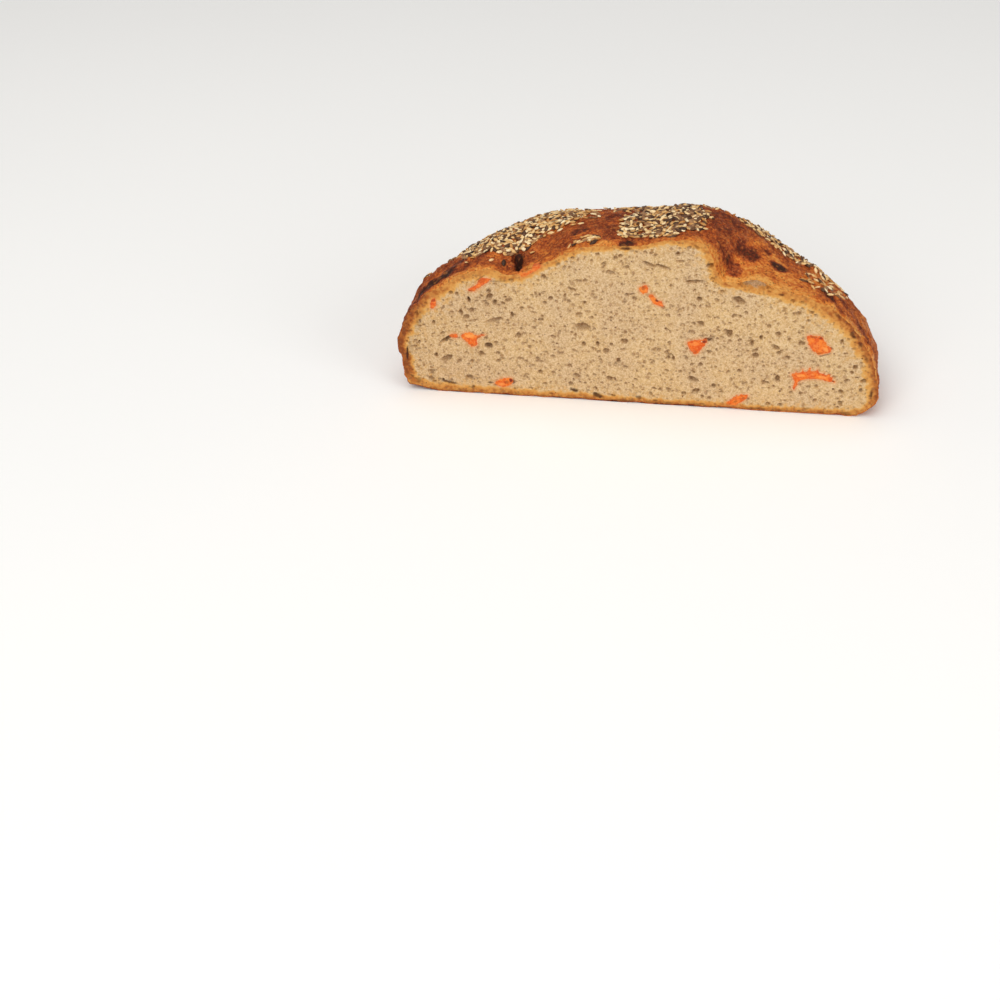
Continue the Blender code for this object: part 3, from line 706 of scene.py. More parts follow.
def within(spots, outline):
    """Which spots (x, z) lie inside the closed outline, by counting its crossings below each."""
    a, b = outline, np.roll(outline, -1, axis=0)
    inside = np.zeros(len(spots), dtype=bool)
    columns, back = np.unique(np.round(spots[:, 0], 7), return_inverse=True)
    for k, x in enumerate(columns):
        members = np.nonzero(back == k)[0]
        cross = (a[:, 0] > x) != (b[:, 0] > x)
        heights = a[cross, 1] + (x - a[cross, 0]) / (b[cross, 0] - a[cross, 0]) * (b[cross, 1] - a[cross, 1])
        below = (heights[None, :] < spots[members, 1][:, None]).sum(axis=1)
        inside[members] = below % 2 == 1
    return inside


def oval_reach(dx, dz, half_long, half_high, tilt):
    """Distance from an oval's middle, 1 on its edge."""
    turn = math.radians(tilt)
    along = dx * math.cos(turn) + dz * math.sin(turn)
    up = dz * math.cos(turn) - dx * math.sin(turn)
    return np.hypot(along / half_long, up / half_high)


def marks(x, z, rows, unit, wobble, inner, outer):
    """How strong the oval mark of each row is at the spots: full within inner, and none past outer."""
    for px, pz, half_long, half_high, tilt, amount in rows:
        reach = oval_reach(x - px * unit, z - pz * unit, half_long * unit, half_high * unit, tilt)
        yield amount * (1 - smooth(inner, outer, reach + wobble))


def chance_pores(chance):
    """Pores by chance, clear of the carrot: x, z, half length, half height, depth, tilt."""
    pores = []
    for count, smallest, largest, stretch in PORE_KINDS:
        for _ in range(count):
            x = chance.uniform(-HALF_WIDTH, HALF_WIDTH)
            z = chance.uniform(0.0, CROWN + HUMP_RISE)
            size = chance.uniform(smallest, largest)
            wide, high = size * chance.uniform(1.0, stretch), size * chance.uniform(0.7, 1.0)
            pores.append((x, z, wide, high, 1.25 * high, chance.gauss(0, PORE_TILT)))
    return pores


def toast_reach(x, z):
    """How far the oven's gold reaches into the crumb, from the nearest spot (x, z) of the outline."""
    return np.where(z < 0.006, np.interp(x, BOTTOM_X, TOAST_BOTTOM), np.interp(x, TOAST_X, TOAST_TOP))


def hollow_out(x, z, pores, wobble, keep_off):
    """Depth of the pores at the spots (x, z) of the cut, and the painted shadow in them."""
    depth, shade = np.zeros(len(x)), np.zeros(len(x))
    for px, pz, wide, high, deep, tilt in pores:
        near = np.nonzero((np.abs(x - px) < wide * 1.8) & (np.abs(z - pz) < max(wide, high) * 1.8))[0]
        reach = oval_reach(x[near] - px, z[near] - pz, wide, high, tilt) + wobble[near]
        depth[near] = np.maximum(depth[near], (1 - smooth(0.55, 1.15, reach)) * deep)
        # painted shadow in the pores: darkest under their top rims, where light from above is cut off, and
        # stronger in taller ones
        upper = 0.72 + 0.28 * np.clip((z[near] - pz) / high, -1, 1)
        dark = (1 - smooth(0.6, 1.12, reach)) * upper * min(1.0, 0.35 + high / 0.0016)
        shade[near] = np.maximum(shade[near], dark)
    return depth * keep_off, shade * keep_off


def crumb_relief(flat, distance, wobble):
    """How deep each spot of the cut lies, and how dark the painted shadow in its pores is."""
    x, _, z = flat.T
    clear = np.ones(len(x))
    for *_, corners in CARROT_PIECES:
        cx, cz = np.mean(corners, axis=0) * MM
        half_long, half_high = np.ptp(corners, axis=0) * MM / 2
        clear = np.minimum(clear, smooth(0.75, 1.0, oval_reach(x - cx, z - cz, half_long, half_high, 0)))
    kept = list(AIR_POCKETS)
    for px, pz, wide, high, tilt in PORES:
        kept.append((px * MM, pz * MM, wide * MM, high * MM, PORE_DEPTH * high * MM, tilt))
    kept_depth, kept_shade = hollow_out(x, z, kept, wobble, 1.0)
    off_rim = smooth(0.0012, 0.0030, distance) * clear
    chance_depth, chance_shade = hollow_out(x, z, chance_pores(random.Random(PORE_SEED)), wobble, off_rim)
    depth = np.maximum(kept_depth, chance_depth) * smooth(0.0, 0.0010, distance)
    rough = 0.00024 + 0.00014 * noise_field(flat, 0.0008) + 0.00010 * noise_field(flat, 0.0035)
    edge = 1 - smooth(0.0, 0.0012, distance)
    depth += np.maximum(rough, LEAST_DEPTH) * (1 - edge) + 0.00012 * edge
    return depth, np.maximum(kept_shade, chance_shade)


def crumb_toast(flat, nearest, distance, in_hollow):
    """How golden the oven left each spot of the cut."""
    near_x, near_z = nearest.T
    reach = toast_reach(near_x, near_z) * (1 + 0.30 * noise_field(flat, 0.006, Vector((9, 1, 4))))
    steeper = 1 + 0.55 * (1 - smooth(-0.106, -0.098, near_x))
    toast = np.clip((1 - distance / reach) * steeper, 0.0, 0.94)
    # less brown at the top, and still less at the base
    toast = np.minimum(toast, 1 - 0.40 * smooth(0.046, 0.058, near_z))
    toast = np.minimum(toast, 0.66 + 0.34 * smooth(0.004, 0.012, near_z))
    # a faint gold that reaches further in
    toast = np.maximum(toast, 0.24 * np.clip(1 - distance / (2.2 * reach), 0.0, 1.0))
    # the large hollow: pale inside, with a golden crescent under it
    toast *= 0.25 + 0.75 * smooth(0.7, 1.05, in_hollow)
    below = 1 - smooth(-0.001, 0.001, flat[:, 2] - AIR_POCKETS[0][1])
    toast += 0.70 * bell(in_hollow - 1.12, 0.30) * below
    return np.minimum(toast, HOLLOW_TOAST + smooth(1.25, 1.8, in_hollow))


def crumb_char_and_shadow(flat, wobble):
    """How dark each spot of the cut is: burnt streaks, painted shadows beside the carrot pieces, painted
    shade along the left side, and a dark line along the base.
    """
    x, _, z = flat.T
    low = z + 0.0012 * noise_field(flat, 0.0024, Vector((2, 6, 1)))
    underside = (0.30 + 0.28 * smooth(-0.06, 0.0, x)) * (1 - smooth(0.0006, 0.0017, low))
    return np.max([underside, *marks(x, z, CHARS_AND_SHADOWS, MM, 1.4 * wobble, 0.5, 1.2)], axis=0)


def carrot_stain(flat):
    """How near each spot of the cut is to a piece of carrot."""
    edges = np.concatenate([rounded(np.array(corners), 8) * MM for *_, corners in CARROT_PIECES])
    tree = spot_tree(edges)
    return bell(np.array([tree.find(spot)[2] for spot in flat]), CARROT_STAIN)


def crumb_block(outline, shift_x):
    """The crumb: a cut sheet full of pores, with a thickness behind it."""
    crumb, on_edge, nearest, distance = cut_sheet("crumb", outline, CRUMB_STEP)
    points = points_of(crumb)
    flat = points - (shift_x, cut_y, 0)
    flat[:, 1] = 0.0
    wobble = 0.24 * noise_field(flat, 0.0011) + 0.16 * noise_field(flat, 0.0027, Vector((5, 5, 5)))
    depth, shade = crumb_relief(flat, distance, wobble)
    points[:, 1] = cut_y + depth
    place_points(crumb, points)
    hx, hz, half_long, half_high, _, tilt = AIR_POCKETS[0]
    in_hollow = oval_reach(flat[:, 0] - hx, flat[:, 2] - hz, half_long, half_high, tilt)
    thicken(crumb, on_edge, CRUMB_THICK, DRAWN_IN)
    clear_crack(crumb, len(points), shift_x)
    paint(crumb, "stain", carrot_stain(flat))
    # painted shadow in the pores, faint inside the large hollow
    paint(crumb, "pore_shadow", shade * (0.12 + 0.88 * smooth(0.9, 1.2, in_hollow)))
    paint(crumb, "toast", crumb_toast(flat, nearest, distance, in_hollow), INNER_TOAST)
    paint(crumb, "char_and_shadow", crumb_char_and_shadow(flat, wobble))
    finish_mesh(crumb, 50)
    return crumb


def denser(outline, parts):
    """The outline with each of its sides divided."""
    after = np.roll(outline, -1, axis=0)
    shares = np.linspace(0, 1, parts, endpoint=False)[:, None, None]
    return (outline[None] * (1 - shares) + after[None] * shares).transpose(1, 0, 2).reshape(-1, 2)


def finish_mesh(piece, sharp):
    """Smooth faces, with sharp edges kept past the given angle."""
    deselect()
    piece.select_set(True)
    bpy.context.view_layer.objects.active = piece
    bpy.ops.object.shade_smooth_by_angle(angle=math.radians(sharp))


def bake_crust(crust, first_inner, shift_x):
    """Paints how dark the oven left each spot, with painted shade in one corner of the burst, from 0 golden
    to 1 burnt. The crust's inner side is golden.
    """
    points = points_of(crust)
    x, y, z = (points - (shift_x, cut_y, 0)).T
    brown = np.full(len(x), BARE_BROWN)
    brown += 0.10 * noise_field(points, 0.028, Vector((2, 8, 3))) + 0.10 * noise_field(points, 0.009)
    # the burst: golden, paler still beside its steep left side, which is a little darker
    wall = burst_wall(x, y)
    open_part = (1 - smooth(0.6, 1.0, y / BURST_LONG)) * (1 - smooth(BURST_END - 0.02, BURST_END, x))
    bloom = smooth(0.5, 1.0, wall) * open_part
    brown -= 0.14 * bloom * (2 - smooth(0.0, 0.030, x - BURST_X - BURST_SLANT * y))
    brown += 0.04 * np.sin(math.pi * wall) * open_part
    brown += 0.03 * bell(x - 0.036, 0.010) * (1 - smooth(0.010, 0.045, y)) * (1 - bloom)
    # a golden edge along the cut
    reach = 0.0060 + 0.0040 * bell(x - BURST_X + 0.005, 0.008)
    edge = 1 - smooth(0.0005, reach, y + 0.0016 * noise_field(points, 0.004, Vector((4, 4, 4))))
    brown -= (0.03 + 0.22 * smooth(-0.100, -0.088, x)) * edge * smooth(0.004, 0.02, z)
    # paler low down, but not in front, and at the right; darker in front at the left
    brown -= 0.10 * (1 - smooth(0.004, 0.016, z)) * smooth(0.0, 0.004, y)
    brown += 0.04 * (1 - smooth(0.0, 0.002, y)) * (1 - smooth(0.002, 0.006, z))
    brown -= 0.05 * smooth(0.05, 0.10, x)
    brown += 0.06 * (1 - smooth(-0.104, -0.090, x)) * (1 - smooth(0.0, 0.02, y))
    wobble = 0.25 * noise_field(points, 0.0035, Vector((1, 1, 7)))
    # scorches, and painted shade in the corner at the burst's foot
    brown += sum(marks(x, y, SCORCHES_AND_SHADE, 1.0, wobble, 0.5, 1.15)) * smooth(0.0, 0.01, z)
    brown[first_inner:] = INNER_BROWN
    paint(crust, "browning_and_shade", np.clip(brown, 0.0, 1.2))


def seed_model(name, size, blunt):
    """One seed, pointed at one end, lying flat with its middle at the origin."""
    deselect()
    bpy.ops.mesh.primitive_uv_sphere_add(segments=8, ring_count=5, radius=0.5)
    seed = name_added(name)
    edit()
    bpy.ops.mesh.select_all(action="SELECT")
    bpy.ops.transform.rotate(value=math.radians(90), orient_axis="Y", center_override=(0, 0, 0))
    bpy.ops.transform.resize(value=size)
    edit(False)
    points = points_of(seed)
    along = points[:, 0] / size[0] + 0.5
    slim = blunt + (1 - blunt) * np.sin(np.clip(along * 0.78 + 0.12, 0, 1) * math.pi)
    points[:, 1] *= slim
    points[:, 2] *= 0.5 + 0.5 * slim
    place_points(seed, points)
    finish_mesh(seed, 80)
    return seed


def crust_reader(crust):
    """Looks straight down on the crust: height and slope at a spot."""
    tree = BVHTree.FromObject(crust, bpy.context.evaluated_depsgraph_get())

    def read(x, y):
        place, normal, _, _ = tree.ray_cast(Vector((x, y, 0.2)), Vector((0, 0, -1)))
        return place, normal

    return read


def squared(share):
    """Draws a cosine or sine outwards, so that an oval of spots fills its corners."""
    return math.copysign(abs(share) ** PATCH_SQUARENESS, share)


def in_bare_spot(x, y):
    return any(oval_reach(x - bx, y - by, long, wide, 0) < 1 for bx, by, long, wide in BARE_SPOTS)


def seed_spots(kind, chance):
    """Spots (x, y, tilt) for one kind of seed, spread evenly over its patches."""
    spots = []
    for px, py, half_long, half_wide, turn, linseeds, sesames, ring in SEED_PATCHES:
        count = linseeds if kind == "linseed" else sesames
        here = []
        for _ in range(count):
            best, best_gap = None, -1.0
            stray = chance.uniform(1.0, 1.35) if chance.random() < STRAY_SHARE else 1.0
            for _ in range(SEED_TRIES):
                angle = chance.uniform(0, 2 * math.pi)
                reach = math.sqrt(chance.random()) * stray
                if kind == "sesame" and chance.random() < ring:
                    angle = chance.uniform(math.radians(170), math.radians(330))
                    reach = chance.uniform(0.85, 1.08)
                reach *= 1 + 0.11 * math.sin(3 * angle + px * 300) + 0.08 * math.sin(7 * angle + py * 500)
                a = half_long * reach * squared(math.cos(angle))
                b = half_wide * reach * squared(math.sin(angle))
                t = math.radians(turn)
                spot = (px + a * math.cos(t) - b * math.sin(t), py + a * math.sin(t) + b * math.cos(t))
                gap = np.hypot(*(np.array(here) - spot).T).min() if here else 1.0
                if spot[1] > SEED_FROM_CUT and gap > best_gap and not in_bare_spot(*spot):
                    best, best_gap = spot, gap
            if best:
                here.append(best)
        spots += here
    return spots


def strew(name, seed, size, spots, crust_at, shift_x, chance, lifts):
    """Copies the seed to each spot, lying on the crust, and joins the copies to one piece."""
    deselect()
    copies = []
    for x, y in spots:
        place, normal = crust_at(x + shift_x, y + cut_y)
        if place is None or normal.z < TOO_STEEP:
            continue
        yaw = chance.gauss(0, SEED_YAW)
        lean = Vector((math.cos(yaw), math.sin(yaw), 0))
        normal = (normal + Vector([chance.gauss(0, SEED_LEAN) for _ in range(3)])).normalized()
        along = (lean - normal * lean.dot(normal)).normalized()
        across = normal.cross(along)
        grown = chance.uniform(*SEED_GROWN)
        turn = Matrix((along, across, normal)).transposed().to_4x4()
        lift = normal * size[2] * chance.uniform(*lifts)
        copy = seed.copy()
        copy.data = seed.data.copy()
        copy.matrix_world = Matrix.Translation(place + lift) @ turn @ Matrix.Scale(grown, 4)
        bpy.context.collection.objects.link(copy)
        paint(copy, "tone", [], chance.random())
        copies.append(copy)
    for copy in copies:
        copy.select_set(True)
    bpy.context.view_layer.objects.active = copies[0]
    bpy.ops.object.join()
    piece = name_added(name)
    bpy.ops.object.transform_apply(location=True, rotation=True, scale=True)
    bpy.data.objects.remove(seed)
    return piece


def rounded(corners, parts):
    """A closed curve through the corners."""
    before, after, beyond = (np.roll(corners, k, axis=0) for k in (1, -1, -2))
    t = np.linspace(0, 1, parts, endpoint=False)[:, None, None]
    curve = corners + 0.5 * t * (after - before)
    curve += 0.5 * t**2 * (2 * before - 5 * corners + 4 * after - beyond)
    curve += 0.5 * t**3 * (3 * corners - before - 3 * after + beyond)
    return curve.transpose(1, 0, 2).reshape(-1, 2)


def carrot_piece(name, depth, corners, shift_x, chance):
    """A plug of carrot in the crumb: its cut end with grated furrows, and its body behind."""
    outline = rounded(np.array(corners) * MM, CARROT_ROUNDING) + (shift_x, 0)
    outline -= inward(outline, 1) * CARROT_SWELL
    outline += [(chance.gauss(0, 0.00008), chance.gauss(0, 0.00008)) for _ in outline]
    piece, on_edge, _, distance = cut_sheet(name + "_flesh", outline, CARROT_STEP)
    points = points_of(piece)
    rim = 1 - smooth(0.0, 0.0007, distance)
    relief = 0.00016 * noise_field(points, 0.0012, Vector((3, 3, 3))) + 0.00008 * noise_field(points, 0.0005)
    points[:, 1] = cut_y + np.maximum(LEAST_DEPTH, 0.00008 + relief + 0.00035 * rim)
    place_points(piece, points)
    x, _, z = (points - (shift_x, cut_y, 0)).T
    wobble = 0.25 * noise_field(points, 0.0009, Vector((6, 2, 2)))
    thicken(piece, on_edge, depth)
    # tints, partly painted light on lit parts and painted shade along edges and shadow lines
    paint(piece, "tint_and_shade", sum(marks(x, z, CARROT_TINTS_AND_SHADE, MM, wobble, 0.4, 1.25)))
    paint(piece, "heart", smooth(0.0, 0.0013, distance))
    finish_mesh(piece, 50)
    return piece


def light(colour):
    """A colour in 0 to 255 as the eye names it, as the shader's numbers."""
    shares = [c / 255 for c in colour]
    return tuple(s / 12.92 if s < 0.04045 else ((s + 0.055) / 1.055) ** 2.4 for s in shares) + (1.0,)


class Nodes:
    """Adds and joins the nodes of one material or group."""

    def __init__(self, tree):
        self.tree = tree

    def join(self, socket, value):
        if isinstance(value, bpy.types.NodeSocket):
            self.tree.links.new(value, socket)
        else:
            socket.default_value = value

    def fill(self, node, inputs):
        for name, value in inputs.items():
            self.join(node.inputs[name.replace("_", " ")], value)
        return node

    def add(self, kind, settings=None, **inputs):
        node = self.tree.nodes.new(kind)
        for name, value in (settings or {}).items():
            setattr(node, name, value)
        return self.fill(node, inputs)

    def math(self, operation, first, second):
        node = self.add("ShaderNodeMath", {"operation": operation})
        self.join(node.inputs[0], first)
        self.join(node.inputs[1], second)
        return node.outputs[0]

    def times(self, first, second):
        return self.math("MULTIPLY", first, second)

    def vary(self, level, mask, amount):
        """Moves a level up and down by a mask's distance from its middle."""
        return self.math("ADD", level, self.times(self.math("SUBTRACT", mask, 0.5), amount))

    def step(self, value, low, high, start=0.0, end=1.0):
        """An even S between two levels of a value."""
        node = self.add("ShaderNodeMapRange", {"interpolation_type": "SMOOTHSTEP"}, Value=value,
                        From_Min=low, From_Max=high, To_Min=start, To_Max=end)
        return node.outputs[0]

    def attribute(self, name):
        return self.add("ShaderNodeAttribute", {"attribute_name": name}).outputs["Fac"]

    def mix(self, share, first, second):
        node = self.add("ShaderNodeMix", {"data_type": "RGBA"})
        self.join(node.inputs[0], share)
        self.join(node.inputs[6], first)
        self.join(node.inputs[7], second)
        return node.outputs[2]

    def ramp(self, value, stops):
        """Colours along a value: the first stop is at 0 and the last at 1."""
        node = self.add("ShaderNodeValToRGB", Fac=value)
        elements = node.color_ramp.elements
        for place, colour in stops[1:-1]:
            elements.new(place).color = light(colour)
        elements[0].color = light(stops[0][1])
        elements[-1].color = light(stops[-1][1])
        return node.outputs[0]


class Finish(Nodes):
    """A material of this loaf: its nodes, its shader, its piece's own place, and the colour laid so far."""

    def __init__(self, name, roughness, specular, groups):
        self.material = bpy.data.materials.new(name)
        self.material.use_nodes = True
        super().__init__(self.material.node_tree)
        self.shader = self.tree.nodes["Principled BSDF"]
        self.shader.inputs["Roughness"].default_value = roughness
        self.shader.inputs["Specular IOR Level"].default_value = specular
        self.place = self.add("ShaderNodeTexCoord").outputs["Object"]
        self.groups = groups
        self.colour = (0.8, 0.8, 0.8, 1.0)

    def group(self, kind, **inputs):
        node = self.add("ShaderNodeGroup", {"node_tree": self.groups[kind]}, Place=self.place)
        return self.fill(node, inputs).outputs[0]

    def mottle(self, scale, detail, low, high):
        return self.group("mottle", Scale=scale, Detail=detail, Low=low, High=high)

    def pits(self, scale, size, uneven):
        return self.group("pits", Scale=scale, Size=size, Uneven=uneven)

    def lay(self, mask, colour):
        """Lays a colour over the ones so far, where the mask is above 0."""
        self.colour = self.mix(mask, self.colour, light(colour))

    def bump(self, height, strength, distance):
        made = self.add("ShaderNodeBump", Height=height, Strength=strength, Distance=distance)
        self.join(self.shader.inputs["Normal"], made.outputs[0])

    def done(self):
        self.join(self.shader.inputs["Base Color"], self.colour)
        return self.material


def new_group(name, inputs, outputs):
    """An empty node group with named inputs (name, kind, value) and outputs (name, kind)."""
    tree = bpy.data.node_groups.new(name, "ShaderNodeTree")
    for socket, kind, value in inputs:
        made = tree.interface.new_socket(socket, in_out="INPUT", socket_type=kind)
        if value is not None:
            made.default_value = value
    for socket, kind in outputs:
        tree.interface.new_socket(socket, in_out="OUTPUT", socket_type=kind)
    return tree, tree.nodes.new("NodeGroupInput").outputs, tree.nodes.new("NodeGroupOutput").inputs


def mottle_group():
    """Cloudy patches: a mask from noise between two levels."""
    tree, given, put = new_group(
        "bread mottle",
        (("Place", "NodeSocketVector", None), ("Scale", "NodeSocketFloat", 100.0),
         ("Detail", "NodeSocketFloat", 3.0), ("Low", "NodeSocketFloat", 0.4),
         ("High", "NodeSocketFloat", 0.6)),
        (("Mask", "NodeSocketFloat"),),
    )
    nodes = Nodes(tree)
    cloud = nodes.add("ShaderNodeTexNoise", Vector=given["Place"], Scale=given["Scale"],
                      Detail=given["Detail"])
    nodes.join(put["Mask"], nodes.step(cloud.outputs["Fac"], given["Low"], given["High"]))
    return tree


def pits_group():
    """Small round pits of uneven size: a mask that is 1 in each pit's middle."""
    tree, given, put = new_group(
        "bread pits",
        (("Place", "NodeSocketVector", None), ("Scale", "NodeSocketFloat", 700.0),
         ("Size", "NodeSocketFloat", 0.4), ("Uneven", "NodeSocketFloat", 0.25)),
        (("Mask", "NodeSocketFloat"),),
    )
    nodes = Nodes(tree)
    bent = nodes.add("ShaderNodeTexNoise", Vector=given["Place"], Scale=given["Scale"], Detail=1.0)
    cells = nodes.add("ShaderNodeTexVoronoi", Vector=given["Place"], Scale=given["Scale"])
    chance = nodes.add("ShaderNodeSeparateColor", Color=cells.outputs["Color"]).outputs[0]
    size = nodes.times(given["Size"], chance)
    reach = nodes.vary(cells.outputs["Distance"], bent.outputs["Fac"], given["Uneven"])
    nodes.join(put["Mask"], nodes.step(reach, nodes.times(size, 0.45), size, 1.0, 0.0))
    return tree


def grain_group():
    """A rough grain for bump: coarse and fine noise in one height."""
    tree, given, put = new_group(
        "baked grain",
        (("Place", "NodeSocketVector", None), ("Coarse", "NodeSocketFloat", 300.0),
         ("Fine", "NodeSocketFloat", 1500.0), ("Fine share", "NodeSocketFloat", 0.4)),
        (("Height", "NodeSocketFloat"),),
    )
    nodes = Nodes(tree)
    coarse = nodes.add("ShaderNodeTexNoise", Vector=given["Place"], Scale=given["Coarse"], Detail=3.0)
    fine = nodes.add("ShaderNodeTexNoise", Vector=given["Place"], Scale=given["Fine"], Detail=2.0)
    part = nodes.times(fine.outputs["Fac"], given["Fine share"])
    nodes.join(put["Height"], nodes.math("ADD", coarse.outputs["Fac"], part))
    return tree


def crust_material(groups):
    """Oven-brown crust from gold to burnt, with mottling, tan flecks, small dark specks and a dry grain."""
    crust = Finish("baked crust", 0.75, 0.24, groups)
    large = crust.mottle(105.0, 4.0, 0.34, 0.66)
    small = crust.mottle(700.0, 5.0, 0.36, 0.64)
    level = crust.vary(crust.vary(crust.attribute("browning_and_shade"), large, 0.22), small, 0.25)
    crust.colour = crust.ramp(level, CRUST_COLOURS)
    crust.lay(crust.times(crust.mottle(380.0, 5.0, 0.55, 0.72), 0.40), (206, 126, 58))
    unburnt = crust.math("SUBTRACT", 1.0, crust.step(level, 0.62, 0.86))
    flecks = crust.times(crust.mottle(1300.0, 2.0, 0.54, 0.68), crust.times(unburnt, 0.40))
    crust.lay(flecks, (224, 146, 76))
    specks = crust.pits(900.0, 0.5, 0.4)
    crust.lay(crust.times(specks, 0.62), (76, 33, 13))
    rough = crust.add("ShaderNodeMapRange", Value=large, To_Min=0.50, To_Max=0.80)
    crust.join(crust.shader.inputs["Roughness"], rough.outputs[0])
    height = crust.group("grain", Coarse=420.0, Fine=1700.0, Fine_share=0.7)
    crust.bump(crust.math("SUBTRACT", height, crust.times(specks, 0.4)), 0.8, 0.0008)
    return crust.done()


def crumb_material(groups):
    """Moist beige crumb: fine grain, brown pores with painted shade in them, painted shade towards the left,
    and gold and brown where the crust begins.
    """
    crumb = Finish("carrot crumb", 0.75, 0.22, groups)
    patches = crumb.mottle(55.0, 2.0, 0.35, 0.65)
    crumbs = crumb.mottle(520.0, 3.0, 0.32, 0.68)
    crumb.colour = crumb.mix(patches, light((203, 168, 124)), light((215, 177, 121)))
    # painted shade: the crumb darker and browner towards the left
    across = crumb.add("ShaderNodeSeparateXYZ", Vector=crumb.place).outputs["X"]
    left = crumb.math("SUBTRACT", 1.0, crumb.step(across, -0.100, -0.030))
    crumb.lay(crumb.times(left, 0.30), (182, 136, 90))
    crumb.lay(crumb.times(crumbs, 0.62), (180, 140, 93))
    crumb.lay(crumb.times(crumb.mottle(1500.0, 2.0, 0.35, 0.65), 0.55), (242, 214, 174))
    gold = crumb.vary(crumb.attribute("toast"), crumbs, 0.25)
    baked = crumb.ramp(gold, TOAST_COLOURS)
    crumb.colour = crumb.mix(crumb.step(gold, 0.03, 0.42), crumb.colour, baked)
    # small pits: tiny pores, partly brown and partly painted shade
    small = crumb.pits(620.0, 0.52, 0.35)
    medium = crumb.pits(300.0, 0.36, 0.4)
    crumb.lay(crumb.times(small, 0.5), (150, 106, 66))
    crumb.lay(crumb.times(medium, 0.5), (140, 96, 60))
    crumb.lay(crumb.times(crumb.pits(260.0, 0.16, 0.1), 0.8), (96, 52, 30))
    # painted shadow in the pores
    crumb.lay(crumb.times(crumb.attribute("pore_shadow"), 0.78), (114, 73, 44))
    crumb.lay(crumb.times(crumb.attribute("stain"), 0.36), (228, 132, 76))
    # burnt streaks, painted shadows beside the carrot pieces, and painted shade along the left side
    crumb.lay(crumb.attribute("char_and_shadow"), (62, 28, 16))
    height = crumb.group("grain", Coarse=700.0, Fine=2200.0, Fine_share=0.5)
    pitted = crumb.times(crumb.math("ADD", small, medium), 0.6)
    crumb.bump(crumb.math("SUBTRACT", height, pitted), 0.6, 0.0005)
    return crumb.done()


def seed_material(name, colours, roughness, specular, groups):
    """Seeds whose tone differs from one to the next, with a faint mottling."""
    seed = Finish(name, roughness, specular, groups)
    level = seed.vary(seed.attribute("tone"), seed.mottle(900.0, 2.0, 0.3, 0.7), 0.35)
    seed.colour = seed.ramp(level, colours)
    seed.bump(seed.group("grain", Coarse=900.0, Fine=2600.0, Fine_share=0.4), 0.25, 0.0003)
    return seed.done()


def carrot_material(groups):
    """Moist carrot: bright orange heart, paler edges, some redder spots, and amber and dark red tints that
    are partly painted light and shade.
    """
    carrot = Finish("cooked carrot", 0.5, 0.25, groups)
    carrot.colour = carrot.mix(carrot.attribute("heart"), light((200, 100, 54)), light((232, 96, 14)))
    carrot.lay(carrot.times(carrot.mottle(240.0, 2.0, 0.42, 0.60), 0.65), (246, 142, 48))
    carrot.lay(carrot.times(carrot.mottle(420.0, 3.0, 0.42, 0.62), 0.65), (208, 66, 16))
    carrot.lay(carrot.times(carrot.mottle(1300.0, 2.0, 0.42, 0.62), 0.34), (248, 158, 76))
    # amber tone with painted light above 0, dark red tone with painted shade below 0
    tint_and_shade = carrot.attribute("tint_and_shade")
    carrot.lay(carrot.step(tint_and_shade, 0.0, 0.9), (255, 168, 84))
    carrot.lay(carrot.step(carrot.times(tint_and_shade, -1.0), 0.0, 1.0), (120, 34, 14))
    carrot.bump(carrot.group("grain", Coarse=700.0, Fine=2400.0, Fine_share=0.5), 0.3, 0.0004)
    return carrot.done()


def floor_material(groups):
    """Pale matte studio floor."""
    floor = Finish("studio floor", 0.85, 0.2, groups)
    cloud = floor.mottle(1.5, 2.0, 0.3, 0.7)
    floor.colour = floor.mix(cloud, light((250, 250, 249)), light((252, 252, 251)))
    return floor.done()


def studio_floor(groups):
    deselect()
    bpy.ops.mesh.primitive_plane_add(size=8.0, location=(0, 1.5, 0))
    floor = name_added("studio_floor")
    bpy.ops.object.transform_apply(location=True)
    floor.data.materials.append(floor_material(groups))


def soft_light(name, place, width, power, colour):
    bpy.ops.object.light_add(type="AREA", location=place)
    lamp = bpy.context.object
    lamp.name = name
    lamp.data.size = width
    lamp.data.energy = power
    lamp.data.color = colour
    lamp.rotation_euler = (LIGHT_AIM - Vector(place)).to_track_quat("-Z", "Y").to_euler()


def studio_light():
    for row in LIGHTS:
        soft_light(*row)
    world = bpy.data.worlds.new("studio_air")
    world.use_nodes = True
    world.node_tree.nodes["Background"].inputs["Color"].default_value = (1.0, 1.0, 1.0, 1.0)
    world.node_tree.nodes["Background"].inputs["Strength"].default_value = LIGHT_AIR
    bpy.context.scene.world = world
    bpy.context.scene.view_settings.view_transform = "Standard"


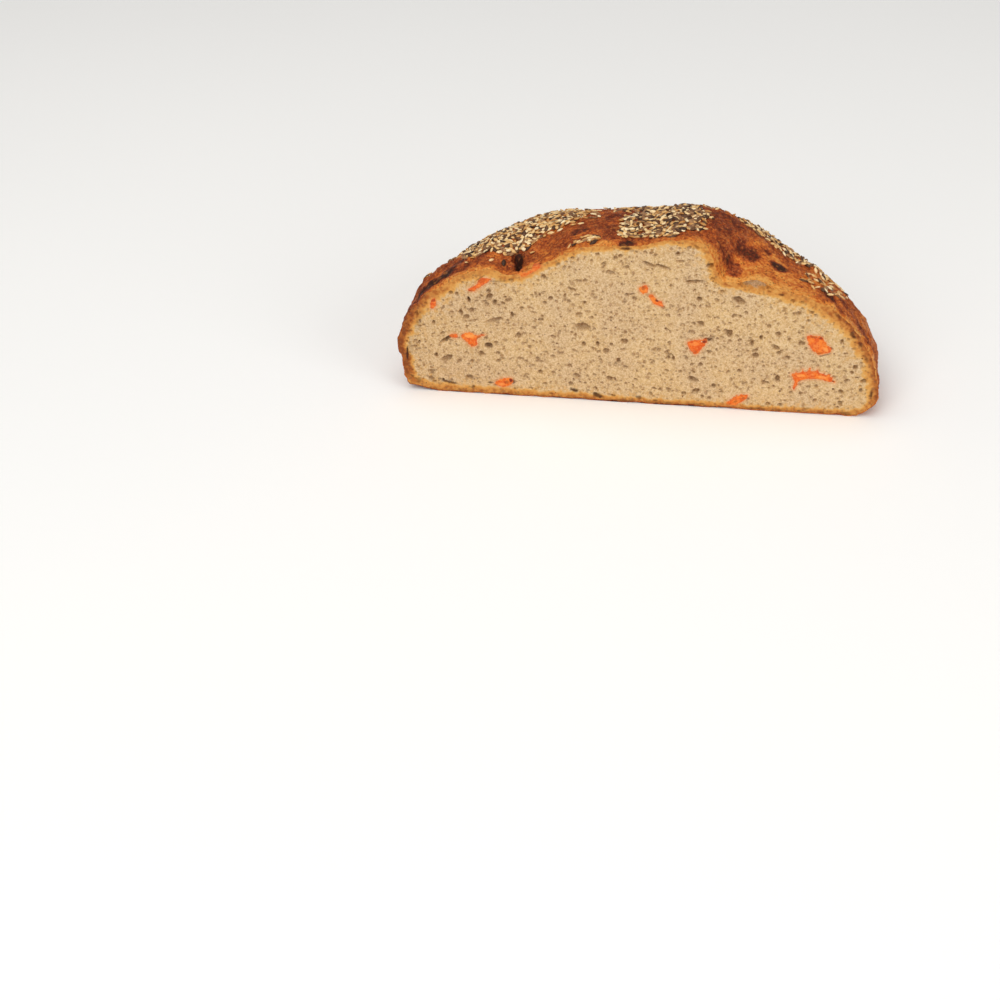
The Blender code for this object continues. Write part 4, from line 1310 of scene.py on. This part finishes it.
def photo_camera():
    bpy.ops.object.camera_add(location=CAMERA_PLACE, rotation=[math.radians(a) for a in CAMERA_TURN])
    camera = bpy.context.object
    camera.name = "photo_camera"
    camera.data.lens = CAMERA_LENS
    camera.data.sensor_width = CAMERA_SENSOR
    camera.data.clip_end = 20.0
    bpy.context.scene.camera = camera


def keep_in_box(piece):
    """Holds the highest and widest points of a piece inside the solid's own box."""
    low, high = np.array(cad_box[0]), np.array(cad_box[1])
    place_points(piece, np.clip(points_of(piece), low, high))


def dress(piece, material, slot, *nodes):
    """Gives a piece its finish, lets it ride on the loaf, and hides the solids it stands for."""
    keep_in_box(piece)
    piece.data.materials.clear()
    piece.data.materials.append(material)
    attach(piece, "root")
    if nodes:
        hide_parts(*nodes)


def main():
    crust, shift_x = crust_surface()
    outline, first_inner = close_crust(crust, rim_loop(crust), shift_x)
    bake_crust(crust, first_inner, shift_x)
    finish_mesh(crust, 60)
    crumb = crumb_block(outline, shift_x)
    crust_at = crust_reader(crust)
    chance = random.Random(SEED_RANDOM)
    linseed_spots = seed_spots("linseed", chance)
    sesame_spots = seed_spots("sesame", chance)
    linseed = strew("linseed", seed_model("one_linseed", LINSEED, 0.25), LINSEED, linseed_spots,
                    crust_at, shift_x, chance, LINSEED_LIFT)
    sesame = strew("sesame", seed_model("one_sesame", SESAME, 0.35), SESAME, sesame_spots,
                   crust_at, shift_x, chance, SESAME_LIFT)
    groups = {"mottle": mottle_group(), "pits": pits_group(), "grain": grain_group()}
    dress(crust, crust_material(groups), "crust", "loaf")
    dress(crumb, crumb_material(groups), "crumb", "loaf")
    dark_skin = seed_material("linseed skin", LINSEED_COLOURS, 0.5, 0.25, groups)
    pale_skin = seed_material("sesame skin", SESAME_COLOURS, 0.55, 0.3, groups)
    dress(linseed, dark_skin, "linseed", "loaf")
    dress(sesame, pale_skin, "sesame", "loaf")
    flesh = carrot_material(groups)
    for row in CARROT_PIECES:
        dress(carrot_piece(*row, shift_x, chance), flesh, "carrot", row[0])
    studio_floor(groups)
    studio_light()
    photo_camera()


main()
